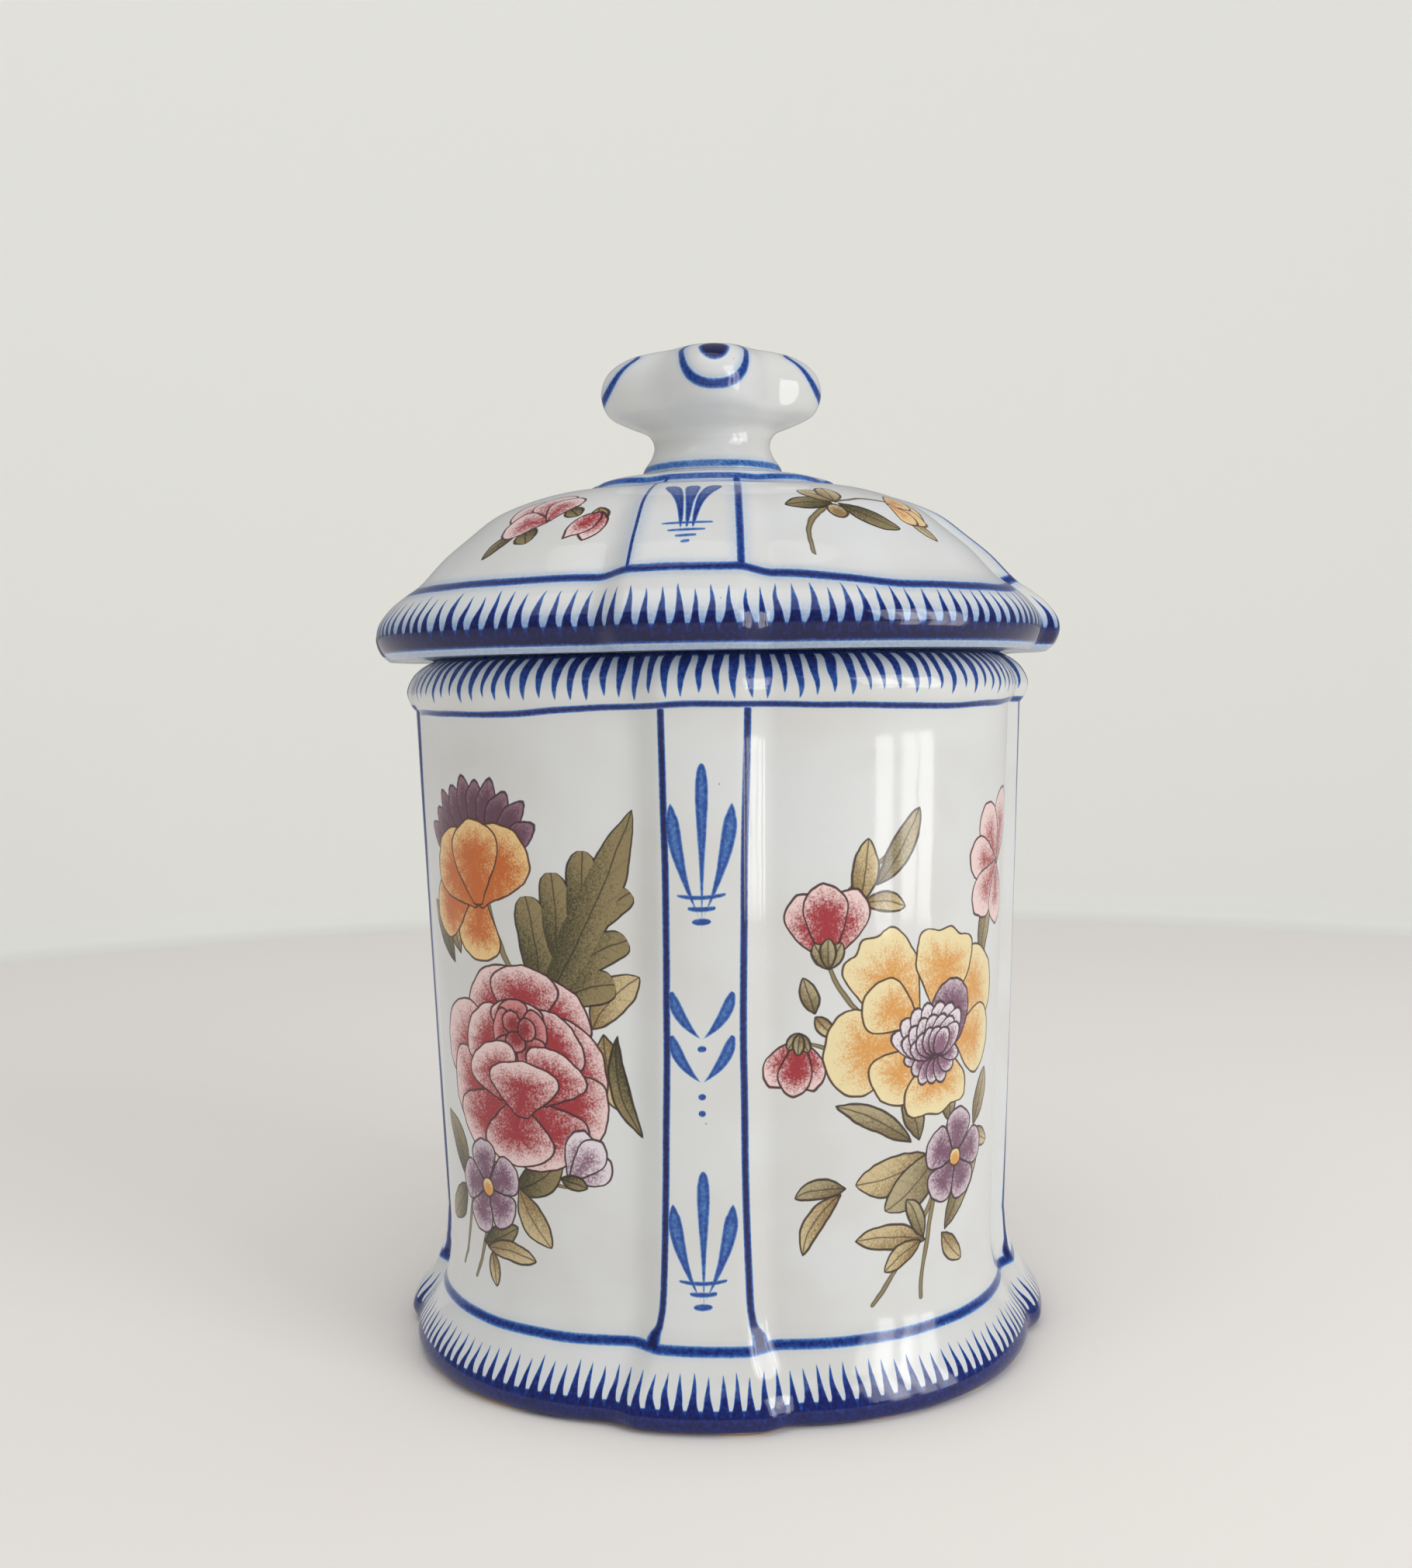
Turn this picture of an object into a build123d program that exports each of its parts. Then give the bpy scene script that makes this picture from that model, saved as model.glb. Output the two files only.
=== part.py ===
from build123d import *
import os
from math import asin, cos, degrees, radians, sin

# Driving dimensions in millimetres, angles in degrees.

# Plan of box and lid: four narrow pilasters between four bowed panels
panel_count = 4
edge_fall = 0.2              # edges of a pilaster's face, inside the circle of its nose
notch_depth = 2.9            # notches beside a pilaster, inside that circle
flank_width = 4.2            # across, from the edge of the face to the notch
panel_swell = 1.5            # from a pilaster's nose out to a panel's middle
notch_round = 2.0            # soft root of a notch and soft edge of a face

# Box, heights
box_height = 137.5
foot_height = 13.4           # table up to the line where the wall begins
cove_height = 10.0           # hollow curve between that line and the straight wall
bead_height = 10.3           # rounded rim under the lid

# Box, radii at a pilaster's nose
wall_nose_low = 58.8         # wall just above the cove
wall_nose_high = 62.7        # wall just under the rim bead
cove_flare = 1.6             # cove's lower end beyond the wall
foot_spread = 5.8            # foot edge beyond the cove's lower end
bead_swell = 1.7             # rim bead beyond the wall

# Box, half widths of a pilaster's face
wall_half = 7.3
foot_half = 12.3
bead_half = 7.8

# Box, clay
wall_thickness = 4.5
rim_thickness = 8.0          # wall at the mouth, where the lid's flange drops in
throat_height = 7.0          # slope from the wall's inside in to the mouth
floor_thickness = 5.0
floor_round = 6.0            # hollow corner between floor and wall
foot_ring_width = 8.0        # band that stands on the table
foot_recess = 3.0            # hollow under the floor

# Lid, heights
lid_edge_height = 14.1       # thick rounded edge, up to the line where the dome begins
dome_height = 19.9
crown_rise = 3.4             # round top of the dome, up to the knob's seat
flange_depth = 8.0

# Lid, radii at a pilaster's nose
lid_reach = 70.85
dome_nose = 62.3             # dome at the line
crown_nose = 26.0            # dome where its round top begins

# Lid, half widths of a pilaster's face
lid_edge_half = 10.8
crown_half = 6.8

# Lid, clay and play
flange_thickness = 4.5
flange_clearance = 2.0
lid_thickness = 5.5
lid_turn = -2.0              # how the lid happens to lie, within its play

# Knob
knob_height = 25.1
knob_seat_radius = 14.7
knob_waist_radius = 12.0
knob_head_radius = 19.8      # middle between a lobe's nose and the hollow beside it
knob_lobe_wave = 3.0         # lobe's nose beyond that middle
knob_turn = 5.1              # how the knob was set on the lid

# Cuts run past the clay by this much
overrun = 1.0

# Levels that follow each smooth outline
foot_steps = 12
bead_steps = 8
lid_steps = 18

# Outlines as shares of the sizes above, read from the bottom up.
# Foot: share of its height, share of its spread
foot_shares = ((0.0, 0.64), (0.08, 0.9), (0.22, 1.0), (0.4, 0.86), (0.7, 0.38), (1.0, 0.0))
# Cove: share of its height, share of its flare
cove_shares = ((0.42, 0.34), (1.0, 0.0))
# Rim bead: share of its height, share of its swell
bead_shares = ((0.0, 0.0), (0.15, 0.62), (0.4, 1.0), (0.7, 0.2), (0.88, -1.0), (1.0, -2.4))
# Share of the bead's height over which its pilasters widen
bead_ramp_share = 0.4
# Lid edge: share of its height, share of the way from the dome's line out to the reach
edge_shares = (
    (0.0, 0.68),
    (0.1, 0.87),
    (0.3, 1.0),
    (0.47, 0.95),
    (0.7, 0.66),
    (0.86, 0.33),
    (1.0, 0.0),
)
# Dome: share of its height, share of the way from the crown out to the line
dome_shares = ((0.27, 0.86), (0.47, 0.73), (0.67, 0.59), (0.8, 0.44), (0.9, 0.27), (1.0, 0.0))
# The plan's relief, as shares of the depths above: lid edge, crown, foot, hollows
edge_relief_share = 1.3
crown_relief_share = 0.2
foot_relief_share = 0.7
# Hollow of the dome: share of its height, share of the dome's nose at the line
hollow_shares = (
    (0.0, 0.93),
    (0.2, 0.93),
    (0.4, 0.87),
    (0.6, 0.78),
    (0.78, 0.68),
    (0.92, 0.53),
    (1.0, 0.38),
)
inside_relief_share = 0.55
# Rounded corner of the floor: share of its height, share of its reach inwards
corner_shares = ((0.0, 1.0), (0.08, 0.62), (0.29, 0.29), (0.62, 0.08), (1.0, 0.0))
# Knob neck: share of the knob's height, share of the way from waist to seat
neck_shares = ((0.0, 1.0), (0.06, 0.8), (0.15, 0.25), (0.25, 0.0))
# Knob head: share of the knob's height, share of the way from waist to head, share of the wave
head_shares = (
    (0.35, 0.12, 0.1),
    (0.42, 0.5, 0.5),
    (0.5, 0.85, 0.85),
    (0.65, 1.0, 1.0),
    (0.78, 0.95, 0.97),
    (0.87, 0.78, 0.88),
    (0.95, 0.45, 0.7),
    (0.985, 0.1, 0.45),
    (1.0, -0.4, 0.2),
)
knob_points_per_lobe = 4

# Sizes that follow
quarter = 360 / panel_count
wall_start = foot_height + cove_height
bead_start = box_height - bead_height
cove_nose = wall_nose_low + cove_flare
foot_nose = cove_nose + foot_spread
mouth_nose = wall_nose_high - rim_thickness
inner_nose_low = wall_nose_low - wall_thickness
inner_nose_high = wall_nose_high - wall_thickness
floor_top = foot_recess + floor_thickness
recess_nose = foot_nose - foot_ring_width
dome_start = box_height + lid_edge_height
crown_start = dome_start + dome_height
crown_radius = crown_nose - notch_depth * crown_relief_share
knob_start = crown_start + crown_rise
flange_nose = mouth_nose - flange_clearance
flange_bottom = box_height - flange_depth
bore_nose = flange_nose - flange_thickness
throat_start = flange_bottom - throat_height
hollow_start = box_height + lid_thickness
hollow_height = crown_start - lid_thickness - hollow_start


def between(start, end, share):
    """Value a share of the way from start to end."""
    return start + (end - start) * share


def polar(radius, angle):
    """Point at a radius and an angle, where 0 is along +X."""
    return Vector(radius * cos(radians(angle)), radius * sin(radians(angle)))


def plan(height, nose, half_width, relief=1.0, turn=0.0):
    """One level of the lobed plan: a pilaster with two flanks and a bowed panel in each quarter."""
    edge = nose - edge_fall * relief
    notch = nose - notch_depth * relief
    edge_angle = degrees(asin(half_width / edge))
    notch_angle = degrees(asin((half_width + flank_width) / notch))
    with BuildSketch(Plane.XY.offset(height)) as level:
        with BuildLine():
            for side in range(panel_count):
                middle = turn + side * quarter
                following = middle + quarter
                far_edge = polar(edge, middle + edge_angle)
                far_notch = polar(notch, middle + notch_angle)
                next_notch = polar(notch, following - notch_angle)
                crest = polar(nose + panel_swell * relief, middle + quarter / 2)
                ThreePointArc(polar(edge, middle - edge_angle), polar(nose, middle), far_edge)
                Line(far_edge, far_notch)
                ThreePointArc(far_notch, crest, next_notch)
                Line(next_notch, polar(edge, following - edge_angle))
        make_face()
        fillet(level.vertices(), notch_round * relief)
    return level.sketch


def inside_plan(height, nose, turn=0.0):
    """One level of a hollow, where the plan is softer."""
    return plan(height, nose, wall_half, inside_relief_share, turn)


def outline_points(points, steps):
    """Even steps along a smooth outline, given as points of radius and height."""
    with BuildLine() as outline:
        Spline(points)
    return [outline.line @ (step / steps) for step in range(steps + 1)]


def knob_level(height, radius, wave):
    """One level of the knob: a circle that swells once for each lobe."""
    count = panel_count * knob_points_per_lobe
    angles = [360 * step / count for step in range(count)]
    with BuildSketch(Plane.XY.offset(height)) as level:
        with BuildLine():
            Spline(
                [polar(radius + wave * cos(radians(panel_count * a)), a + knob_turn) for a in angles],
                periodic=True,
            )
        make_face()
    return level.sketch


# Box: foot with its cove, straight wall and rim bead on one plan, with a hollow inside
with BuildPart() as box:
    foot_outline = [(cove_nose + spread * foot_spread, rise * foot_height) for rise, spread in foot_shares]
    for rise, flare in cove_shares:
        foot_outline.append((wall_nose_low + flare * cove_flare, foot_height + rise * cove_height))
    bead_outline = [
        (wall_nose_high + swell * bead_swell, bead_start + rise * bead_height)
        for rise, swell in bead_shares
    ]
    box_levels = []
    for point in outline_points(foot_outline, foot_steps):
        widening = (point.X - wall_nose_low) / (foot_nose - wall_nose_low)
        half = between(wall_half, foot_half, widening)
        relief = between(1, foot_relief_share, widening)
        box_levels.append(plan(point.Y, point.X, half, relief))
    for point in outline_points(bead_outline, bead_steps):
        widening = min(1, (point.Y - bead_start) / (bead_ramp_share * bead_height))
        box_levels.append(plan(point.Y, point.X, between(wall_half, bead_half, widening)))
    loft(box_levels, ruled=True)

    # Inside: rounded corner above the floor, wall, throat and straight mouth
    inside_levels = []
    for rise, reach in corner_shares:
        height = floor_top + rise * floor_round
        inside_levels.append(inside_plan(height, inner_nose_low - reach * floor_round))
    inside_levels.append(inside_plan(throat_start, inner_nose_high))
    inside_levels.append(inside_plan(flange_bottom, mouth_nose))
    inside_levels.append(inside_plan(box_height + overrun, mouth_nose))
    loft(inside_levels, ruled=True, mode=Mode.SUBTRACT)

    # Hollow under the floor, which leaves a ring to stand on
    recess = inside_plan(-overrun, recess_nose)
    extrude(recess, amount=foot_recess + overrun, mode=Mode.SUBTRACT)

# Lid: thick edge, ribbed dome, round crown, and a flange that drops into the mouth
with BuildPart() as lid:
    lid_outline = [
        (between(dome_nose, lid_reach, reach), box_height + rise * lid_edge_height)
        for rise, reach in edge_shares
    ]
    for rise, reach in dome_shares:
        lid_outline.append((between(crown_nose, dome_nose, reach), dome_start + rise * dome_height))
    lid_levels = []
    for point in outline_points(lid_outline, lid_steps):
        reach = (point.X - crown_nose) / (lid_reach - crown_nose)
        half = between(crown_half, lid_edge_half, reach)
        relief = between(crown_relief_share, edge_relief_share, 1 - (1 - reach) ** 2)
        lid_levels.append(plan(point.Y, point.X, half, relief, lid_turn))
    loft(lid_levels, ruled=True)

    # Round crown, flat where the knob sits
    with BuildSketch(Plane.XZ):
        with BuildLine():
            Polyline(
                (0, crown_start),
                (crown_radius, crown_start),
                (knob_seat_radius, knob_start),
                (0, knob_start),
                close=True,
            )
        make_face()
    revolve(axis=Axis.Z)

    flange = inside_plan(flange_bottom, flange_nose, lid_turn)
    extrude(flange, amount=flange_depth)

    # Bore of the flange and, above it, the hollow of the dome
    bore = inside_plan(flange_bottom - overrun, bore_nose, lid_turn)
    extrude(bore, amount=overrun + hollow_start - flange_bottom, mode=Mode.SUBTRACT)
    hollow_levels = []
    for rise, width in hollow_shares:
        height = hollow_start + rise * hollow_height
        hollow_levels.append(inside_plan(height, width * dome_nose, lid_turn))
    loft(hollow_levels, ruled=True, mode=Mode.SUBTRACT)

# Knob: waisted neck under a head of four soft lobes, set on the lid with slip
with BuildPart() as knob:
    knob_levels = []
    for rise, flare in neck_shares:
        radius = between(knob_waist_radius, knob_seat_radius, flare)
        knob_levels.append(knob_level(knob_start + rise * knob_height, radius, 0))
    for rise, swell, lobes in head_shares:
        radius = between(knob_waist_radius, knob_head_radius, swell)
        height = knob_start + rise * knob_height
        knob_levels.append(knob_level(height, radius, lobes * knob_lobe_wave))
    loft(knob_levels)

box.part.label = "box"
lid.part.label = "lid"
knob.part.label = "knob"

os.makedirs("parts", exist_ok=True)
export_step(box.part, "parts/box.step")
export_step(lid.part, "parts/lid.step")
export_step(knob.part, "parts/knob.step")
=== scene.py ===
"""Looks of a lidded earthenware box: white tin glaze, cobalt borders and painted flower sprays.

Sizes are in millimetres and angles in degrees unless a docstring says otherwise.
"""
import logging
import math
from dataclasses import dataclass, field, replace
from enum import Enum
from functools import cache
from typing import Callable, Iterable, Sequence

import bpy
import numpy as np
from mathutils import Matrix, Vector


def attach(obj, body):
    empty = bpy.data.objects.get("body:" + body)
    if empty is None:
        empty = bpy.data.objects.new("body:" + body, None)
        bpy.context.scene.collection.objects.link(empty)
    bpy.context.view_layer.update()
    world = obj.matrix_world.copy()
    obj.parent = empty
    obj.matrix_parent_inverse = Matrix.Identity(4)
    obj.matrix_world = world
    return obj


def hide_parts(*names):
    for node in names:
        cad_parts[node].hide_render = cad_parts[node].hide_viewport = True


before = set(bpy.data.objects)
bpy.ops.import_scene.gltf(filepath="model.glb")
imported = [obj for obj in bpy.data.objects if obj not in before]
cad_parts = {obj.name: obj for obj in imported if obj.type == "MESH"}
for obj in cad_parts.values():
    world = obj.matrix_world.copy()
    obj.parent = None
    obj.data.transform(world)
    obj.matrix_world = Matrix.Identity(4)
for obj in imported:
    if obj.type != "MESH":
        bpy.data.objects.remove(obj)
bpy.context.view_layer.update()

LOG = logging.getLogger("earthenware_box")
MM = 0.001
QUARTER = math.pi / 2
TINY = 1e-6
Colour = tuple[float, float, float]
Level = tuple[float, float, float, float]
Place = tuple[float, float]
Points = Sequence[tuple[float, ...]]


def srgb(red: int, green: int, blue: int) -> Colour:
    """Turns a display colour into the linear colour that shaders take.

    Args:
        red, green, blue: Display values from 0 to 255.

    Returns:
        The linear colour.
    """
    def linear(value: int) -> float:
        """One channel, from display to linear."""
        share = value / 255
        return share / 12.92 if share <= 0.04045 else ((share + 0.055) / 1.055) ** 2.4

    return linear(red), linear(green), linear(blue)


def between(start: float, end: float, share: float) -> float:
    """Value a share of the way from start to end."""
    return start + (end - start) * share


def steps_from(nose: float, height: float, steps: Points) -> list[Place]:
    """Places that lie given steps outwards and upwards from a nose radius and height."""
    return [(nose + out, height + up) for out, up in steps]


def ahead(base: Place, turn: float, distance: float) -> Place:
    """Place at a distance from a base, where turn is in radians anticlockwise from upwards."""
    return base[0] - math.sin(turn) * distance, base[1] + math.cos(turn) * distance


def smooth_through(points: Points, steps: int) -> np.ndarray:
    """Draws a smooth line through points, which may carry further values.

    Args:
        points: Rows of values; the first two are the place that spaces the line.
        steps: Steps from each point to the next.

    Returns:
        An array with one row for each place on the line.
    """
    ctrl = np.array(points, dtype=float)
    ctrl = np.vstack([2 * ctrl[0] - ctrl[1], ctrl, 2 * ctrl[-1] - ctrl[-2]])
    gaps = np.sqrt(np.linalg.norm(np.diff(ctrl[:, :2], axis=0), axis=1))
    knots = np.concatenate([[0.0], np.cumsum(gaps)])
    rows: list[np.ndarray] = []
    for i in range(1, len(ctrl) - 2):
        t = np.linspace(knots[i], knots[i + 1], steps, endpoint=False)[:, None]
        k0, k1, k2, k3 = knots[i - 1:i + 3]
        p0, p1, p2, p3 = ctrl[i - 1:i + 3]
        a1 = (k1 - t) / (k1 - k0) * p0 + (t - k0) / (k1 - k0) * p1
        a2 = (k2 - t) / (k2 - k1) * p1 + (t - k1) / (k2 - k1) * p2
        a3 = (k3 - t) / (k3 - k2) * p2 + (t - k2) / (k3 - k2) * p3
        b1 = (k2 - t) / (k2 - k0) * a1 + (t - k0) / (k2 - k0) * a2
        b2 = (k3 - t) / (k3 - k1) * a2 + (t - k1) / (k3 - k1) * a3
        rows.append((k2 - t) / (k2 - k1) * b1 + (t - k1) / (k2 - k1) * b2)
    rows.append(ctrl[-2][None, :])
    return np.vstack(rows)


def mesh_object(name: str, verts: Points, faces: Sequence[tuple[int, ...]], smooth: bool) -> bpy.types.Object:
    """Makes a mesh object and puts it into the scene.

    Args:
        name: Name of the object and its mesh.
        verts: Corners in metres.
        faces: Corners of each face, by number.
        smooth: Whether the faces are shaded as one surface.

    Returns:
        The object.
    """
    mesh = bpy.data.meshes.new(name)
    mesh.from_pydata(verts, [], faces)
    mesh.polygons.foreach_set("use_smooth", np.full(len(faces), smooth, dtype=bool))
    obj = bpy.data.objects.new(name, mesh)
    bpy.context.scene.collection.objects.link(obj)
    return obj


@dataclass(frozen=True)
class LobedPlan:
    """Plan that box and lid share: four pilasters with sloping flanks between four bowed panels.

    The twist is a further turn for each 100 mm of height, as the hand-pressed wall leans a little.
    Below the least relief the plan is a circle, and a sine is kept under the largest that is turned back.
    """

    edge_fall: float = 0.2
    notch_depth: float = 2.9
    flank_width: float = 4.2
    panel_swell: float = 1.5
    notch_soft: float = 1.3
    edge_soft: float = 0.5
    turn: float = 0.0
    twist: float = 0.0
    least_relief: float = 1e-3
    largest_sine: float = 0.7

    @staticmethod
    def _bow(edge: np.ndarray, edge_angle: np.ndarray, crest: np.ndarray, angle: np.ndarray) -> np.ndarray:
        """Radius of an arc through a crest on its middle line and an edge on either side.

        Args:
            edge: Radius of the two edges.
            edge_angle: Angle of an edge from the middle line, in radians.
            crest: Radius on the middle line.
            angle: Angles from the middle line, in radians.

        Returns:
            The radius at each angle.
        """
        along = edge * np.cos(edge_angle)
        middle = (crest ** 2 - edge ** 2) / (2 * np.maximum(crest - along, TINY))
        bow = np.maximum((crest - middle) ** 2 - (middle * np.sin(angle)) ** 2, 0.0)
        return middle * np.cos(angle) + np.sqrt(bow)

    @staticmethod
    def _meet(first: np.ndarray, second: np.ndarray, soft: np.ndarray, side: int) -> np.ndarray:
        """Outer or inner of two outlines, rounded where they meet.

        Args:
            first, second: Radii of the two outlines.
            soft: Difference of the radii where the rounding starts.
            side: 1 for the outer outline, -1 for the inner.

        Returns:
            The radius at each angle.
        """
        blend = np.maximum(soft - np.abs(first - second), 0.0) / soft
        pick = np.maximum(first, second) if side > 0 else np.minimum(first, second)
        return pick + side * blend ** 2 * soft / 4

    def radius(self, angle: np.ndarray, level: np.ndarray) -> np.ndarray:
        """Radius of the outline at each angle and level.

        Args:
            angle: Angles in radians, where 0 is along +X.
            level: Rows of nose radius, height, half width of a pilaster's face and share of the relief.

        Returns:
            A grid of radii with one row for each level.
        """
        nose, half = level[:, 0:1], level[:, 2:3]
        relief = np.maximum(level[:, 3:4], self.least_relief / 10)
        turn = np.radians(self.turn + self.twist * level[:, 1:2] / 100)
        local = np.mod(angle[None, :] - turn + QUARTER / 2, QUARTER) - QUARTER / 2
        edge, notch = nose - self.edge_fall * relief, nose - self.notch_depth * relief
        edge_angle = np.arcsin(np.minimum(half / edge, self.largest_sine))
        notch_angle = np.arcsin(np.minimum((half + self.flank_width) / notch, self.largest_sine))
        face = self._bow(edge, edge_angle, nose, local)
        fall = edge * np.cos(edge_angle) - notch * np.cos(notch_angle)
        rise = notch * np.sin(notch_angle) - edge * np.sin(edge_angle)
        flank = edge * (rise * np.cos(edge_angle) + fall * np.sin(edge_angle)) / (
            rise * np.cos(local) + fall * np.abs(np.sin(local)))
        pilaster = self._meet(face, flank, self.edge_soft * relief, -1)
        crest = nose + self.panel_swell * relief
        panel = self._bow(notch, QUARTER / 2 - notch_angle, crest, np.abs(local) - QUARTER / 2)
        lobed = self._meet(pilaster, panel, self.notch_soft * relief, 1)
        return np.where(relief < self.least_relief, nose, lobed)


@dataclass
class Skin:
    """Closed surface of rings round the box's axis, made from the bottom or inside outwards."""

    name: str
    columns: int = 480
    rings: list[np.ndarray] = field(default_factory=list)
    parts: list[str] = field(default_factory=list)

    @property
    def angles(self) -> np.ndarray:
        """Angle of each column in radians, from the left side by the front round to it again."""
        return np.arange(self.columns) / self.columns * 2 * math.pi - math.pi

    def add(self, part: str, radii: np.ndarray, heights: np.ndarray) -> None:
        """Adds rings to the surface.

        Args:
            part: Name of the stretch that the rings belong to.
            radii: Grid of radii, one row for each ring.
            heights: Height of each ring.
        """
        for row, height in zip(radii, heights):
            x, y = row * np.cos(self.angles), row * np.sin(self.angles)
            self.rings.append(np.column_stack([x, y, np.full_like(x, height)]))
            self.parts.append(part)

    def build(self, pick: Callable[[str, float], int], shown: Iterable[str]) -> bpy.types.Object:
        """Makes the mesh object.

        Args:
            pick: Gives the material index from a part's name and a face's angle in radians.
            shown: Parts that get most of the map for baking.

        Returns:
            The new object, in metres.
        """
        grid = np.array(self.rings)
        rows, cols = grid.shape[0], self.columns
        index = np.arange(rows * cols).reshape(rows, cols)
        right = np.roll(index, -1, axis=1)
        quads = np.stack([index[:-1], right[:-1], right[1:], index[1:]], axis=-1).reshape(-1, 4)
        verts = grid.reshape(-1, 3) * MM
        faces = [tuple(int(v) for v in quad) for quad in quads]
        low, high = len(verts), len(verts) + 1
        verts = np.vstack([verts, [[0, 0, grid[0, 0, 2] * MM], [0, 0, grid[-1, 0, 2] * MM]]])
        faces += [(low, int(right[0, j]), int(index[0, j])) for j in range(cols)]
        faces += [(high, int(index[-1, j]), int(right[-1, j])) for j in range(cols)]
        obj = mesh_object(self.name, verts.tolist(), faces, smooth=True)

        middles = self.angles + math.pi / cols
        row_parts = [*self.parts[:-1], self.parts[0], self.parts[-1]]
        slots = [pick(part, float(middle)) for part in row_parts for middle in middles]
        obj.data.polygons.foreach_set("material_index", np.array(slots, dtype=np.int32))
        self._map(obj.data, grid, set(shown))
        obj.data.update()
        return obj

    def _map(self, mesh: bpy.types.Mesh, grid: np.ndarray, shown: set[str]) -> None:
        """Lays the faces out for baking: front and back halves of what shows, and a strip for the rest.

        Args:
            mesh: The mesh to map.
            grid: Rings of points.
            shown: Parts that get the two large fields.
        """
        strip, gap, fan = 0.12, 0.008, 0.001
        rows, cols = grid.shape[:2]
        step = np.linalg.norm(np.diff(grid, axis=0), axis=2).mean(axis=1)
        is_shown = np.array([part in shown for part in self.parts[:-1]])
        column = np.arange(cols)
        uv = np.zeros((rows - 1, cols, 4, 2))
        for wanted, fields, base, tall in ((True, 2, strip, (1 - strip) / 2), (False, 1, 0.0, strip)):
            picked = np.where(is_shown == wanted)[0]
            ends = np.concatenate([[0.0], np.cumsum(step[picked])])
            ends = ends / max(ends[-1], TINY)
            number = column * fields // cols
            left, right = (edge / cols * fields - number for edge in (column, column + 1))
            low, high = (base + number * tall + (tall - gap) * end[:, None] for end in (ends[:-1], ends[1:]))
            uv[picked, :, :, 0] = np.stack([left, right, right, left], axis=-1)
            uv[picked, :, :, 1] = np.stack([low, low, high, high], axis=-1)
        fans = np.zeros((2 * cols, 3, 2))
        fans[:, :, 0] = (0.5, 0.5 + fan / 2, 0.5 + fan)
        fans[:, :, 1] = (strip - gap, strip - gap / 2, strip - gap)
        layer = mesh.uv_layers.new(name="OFBake")
        layer.data.foreach_set("uv", np.concatenate([uv.reshape(-1), fans.reshape(-1)]))


class Tone:
    """A value that varies over a surface, made of shader maths."""

    def __init__(self, tree: bpy.types.NodeTree, socket: bpy.types.NodeSocket) -> None:
        """Wraps a node's output."""
        self.tree = tree
        self.socket = socket

    def _feed(self, node: bpy.types.Node, values: Sequence["Tone | float"]) -> "Tone":
        """Links or sets a node's inputs in order.

        Args:
            node: The node.
            values: Its inputs, as tones or plain numbers.

        Returns:
            The node's result.
        """
        for value, socket in zip(values, node.inputs):
            if isinstance(value, Tone):
                self.tree.links.new(value.socket, socket)
            else:
                socket.default_value = value
        return Tone(self.tree, node.outputs[0])

    def maths(self, operation: str, *others: "Tone | float", swap: bool = False) -> "Tone":
        """Adds a maths node.

        Args:
            operation: Blender's name of the operation.
            others: Further inputs, as tones or plain numbers.
            swap: Whether this tone is the second of two inputs.

        Returns:
            The result.
        """
        node = self.tree.nodes.new("ShaderNodeMath")
        node.operation = operation
        values = [self, *others]
        return self._feed(node, values[::-1] if swap else values)

    def __add__(self, other: "Tone | float") -> "Tone":
        """Sum."""
        return self.maths("ADD", other)

    def __sub__(self, other: "Tone | float") -> "Tone":
        """Difference."""
        return self.maths("SUBTRACT", other)

    def __rsub__(self, other: float) -> "Tone":
        """Difference from a number."""
        return self.maths("SUBTRACT", other, swap=True)

    def __mul__(self, other: "Tone | float") -> "Tone":
        """Product."""
        return self.maths("MULTIPLY", other)

    def over(self, other: "Tone | float") -> "Tone":
        """Quotient."""
        return self.maths("DIVIDE", other)

    def most(self, other: "Tone | float") -> "Tone":
        """The larger of two."""
        return self.maths("MAXIMUM", other)

    def reach(self, other: "Tone") -> "Tone":
        """Distance that this and another tone make at right angles."""
        return other.maths("MULTIPLY_ADD", other, self * self).maths("SQRT")

    def size(self) -> "Tone":
        """Value without its sign."""
        return self.maths("ABSOLUTE")

    def ramp(self, low: "Tone | float", high: "Tone | float", start: float = 0.0, end: float = 1.0,
             smooth: bool = True) -> "Tone":
        """Goes from start to end while this tone goes from low to high.

        Args:
            low, high: This tone's values at the two ends.
            start, end: The result at the two ends.
            smooth: Whether the ends are eased.

        Returns:
            The result.
        """
        node = self.tree.nodes.new("ShaderNodeMapRange")
        node.interpolation_type = "SMOOTHSTEP" if smooth else "LINEAR"
        node.clamp = False
        return self._feed(node, (self, low, high, start, end))

    def fade(self, low: float, high: float, start: float = 1.0) -> "Tone":
        """Goes from start to nothing while this tone goes from low to high."""
        return self.ramp(low, high, start, 0.0)

    def curve(self, points: Points) -> "Tone":
        """Reads a drawn curve at this tone.

        Args:
            points: Places on the curve, from 0 to 1 along it.

        Returns:
            The curve's value.
        """
        node = self.tree.nodes.new("ShaderNodeFloatCurve")
        line = node.mapping.curves[0]
        while len(line.points) < len(points):
            line.points.new(0.5, 0.5)
        for point, place in zip(line.points, points):
            point.location = place[:2]
        node.mapping.update()
        self.tree.links.new(self.socket, node.inputs["Value"])
        return Tone(self.tree, node.outputs[0])


class Cobalt(Enum):
    """Steps of the blue at their depths, from a breath of colour in the glaze to the thickest paint."""

    HAZE = (0.0, srgb(176, 200, 226))
    WASH = (0.3, srgb(92, 142, 200))
    BODY = (0.55, srgb(38, 84, 164))
    DEEP = (0.8, srgb(16, 34, 112))
    PITCH = (1.0, srgb(6, 8, 66))


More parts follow.
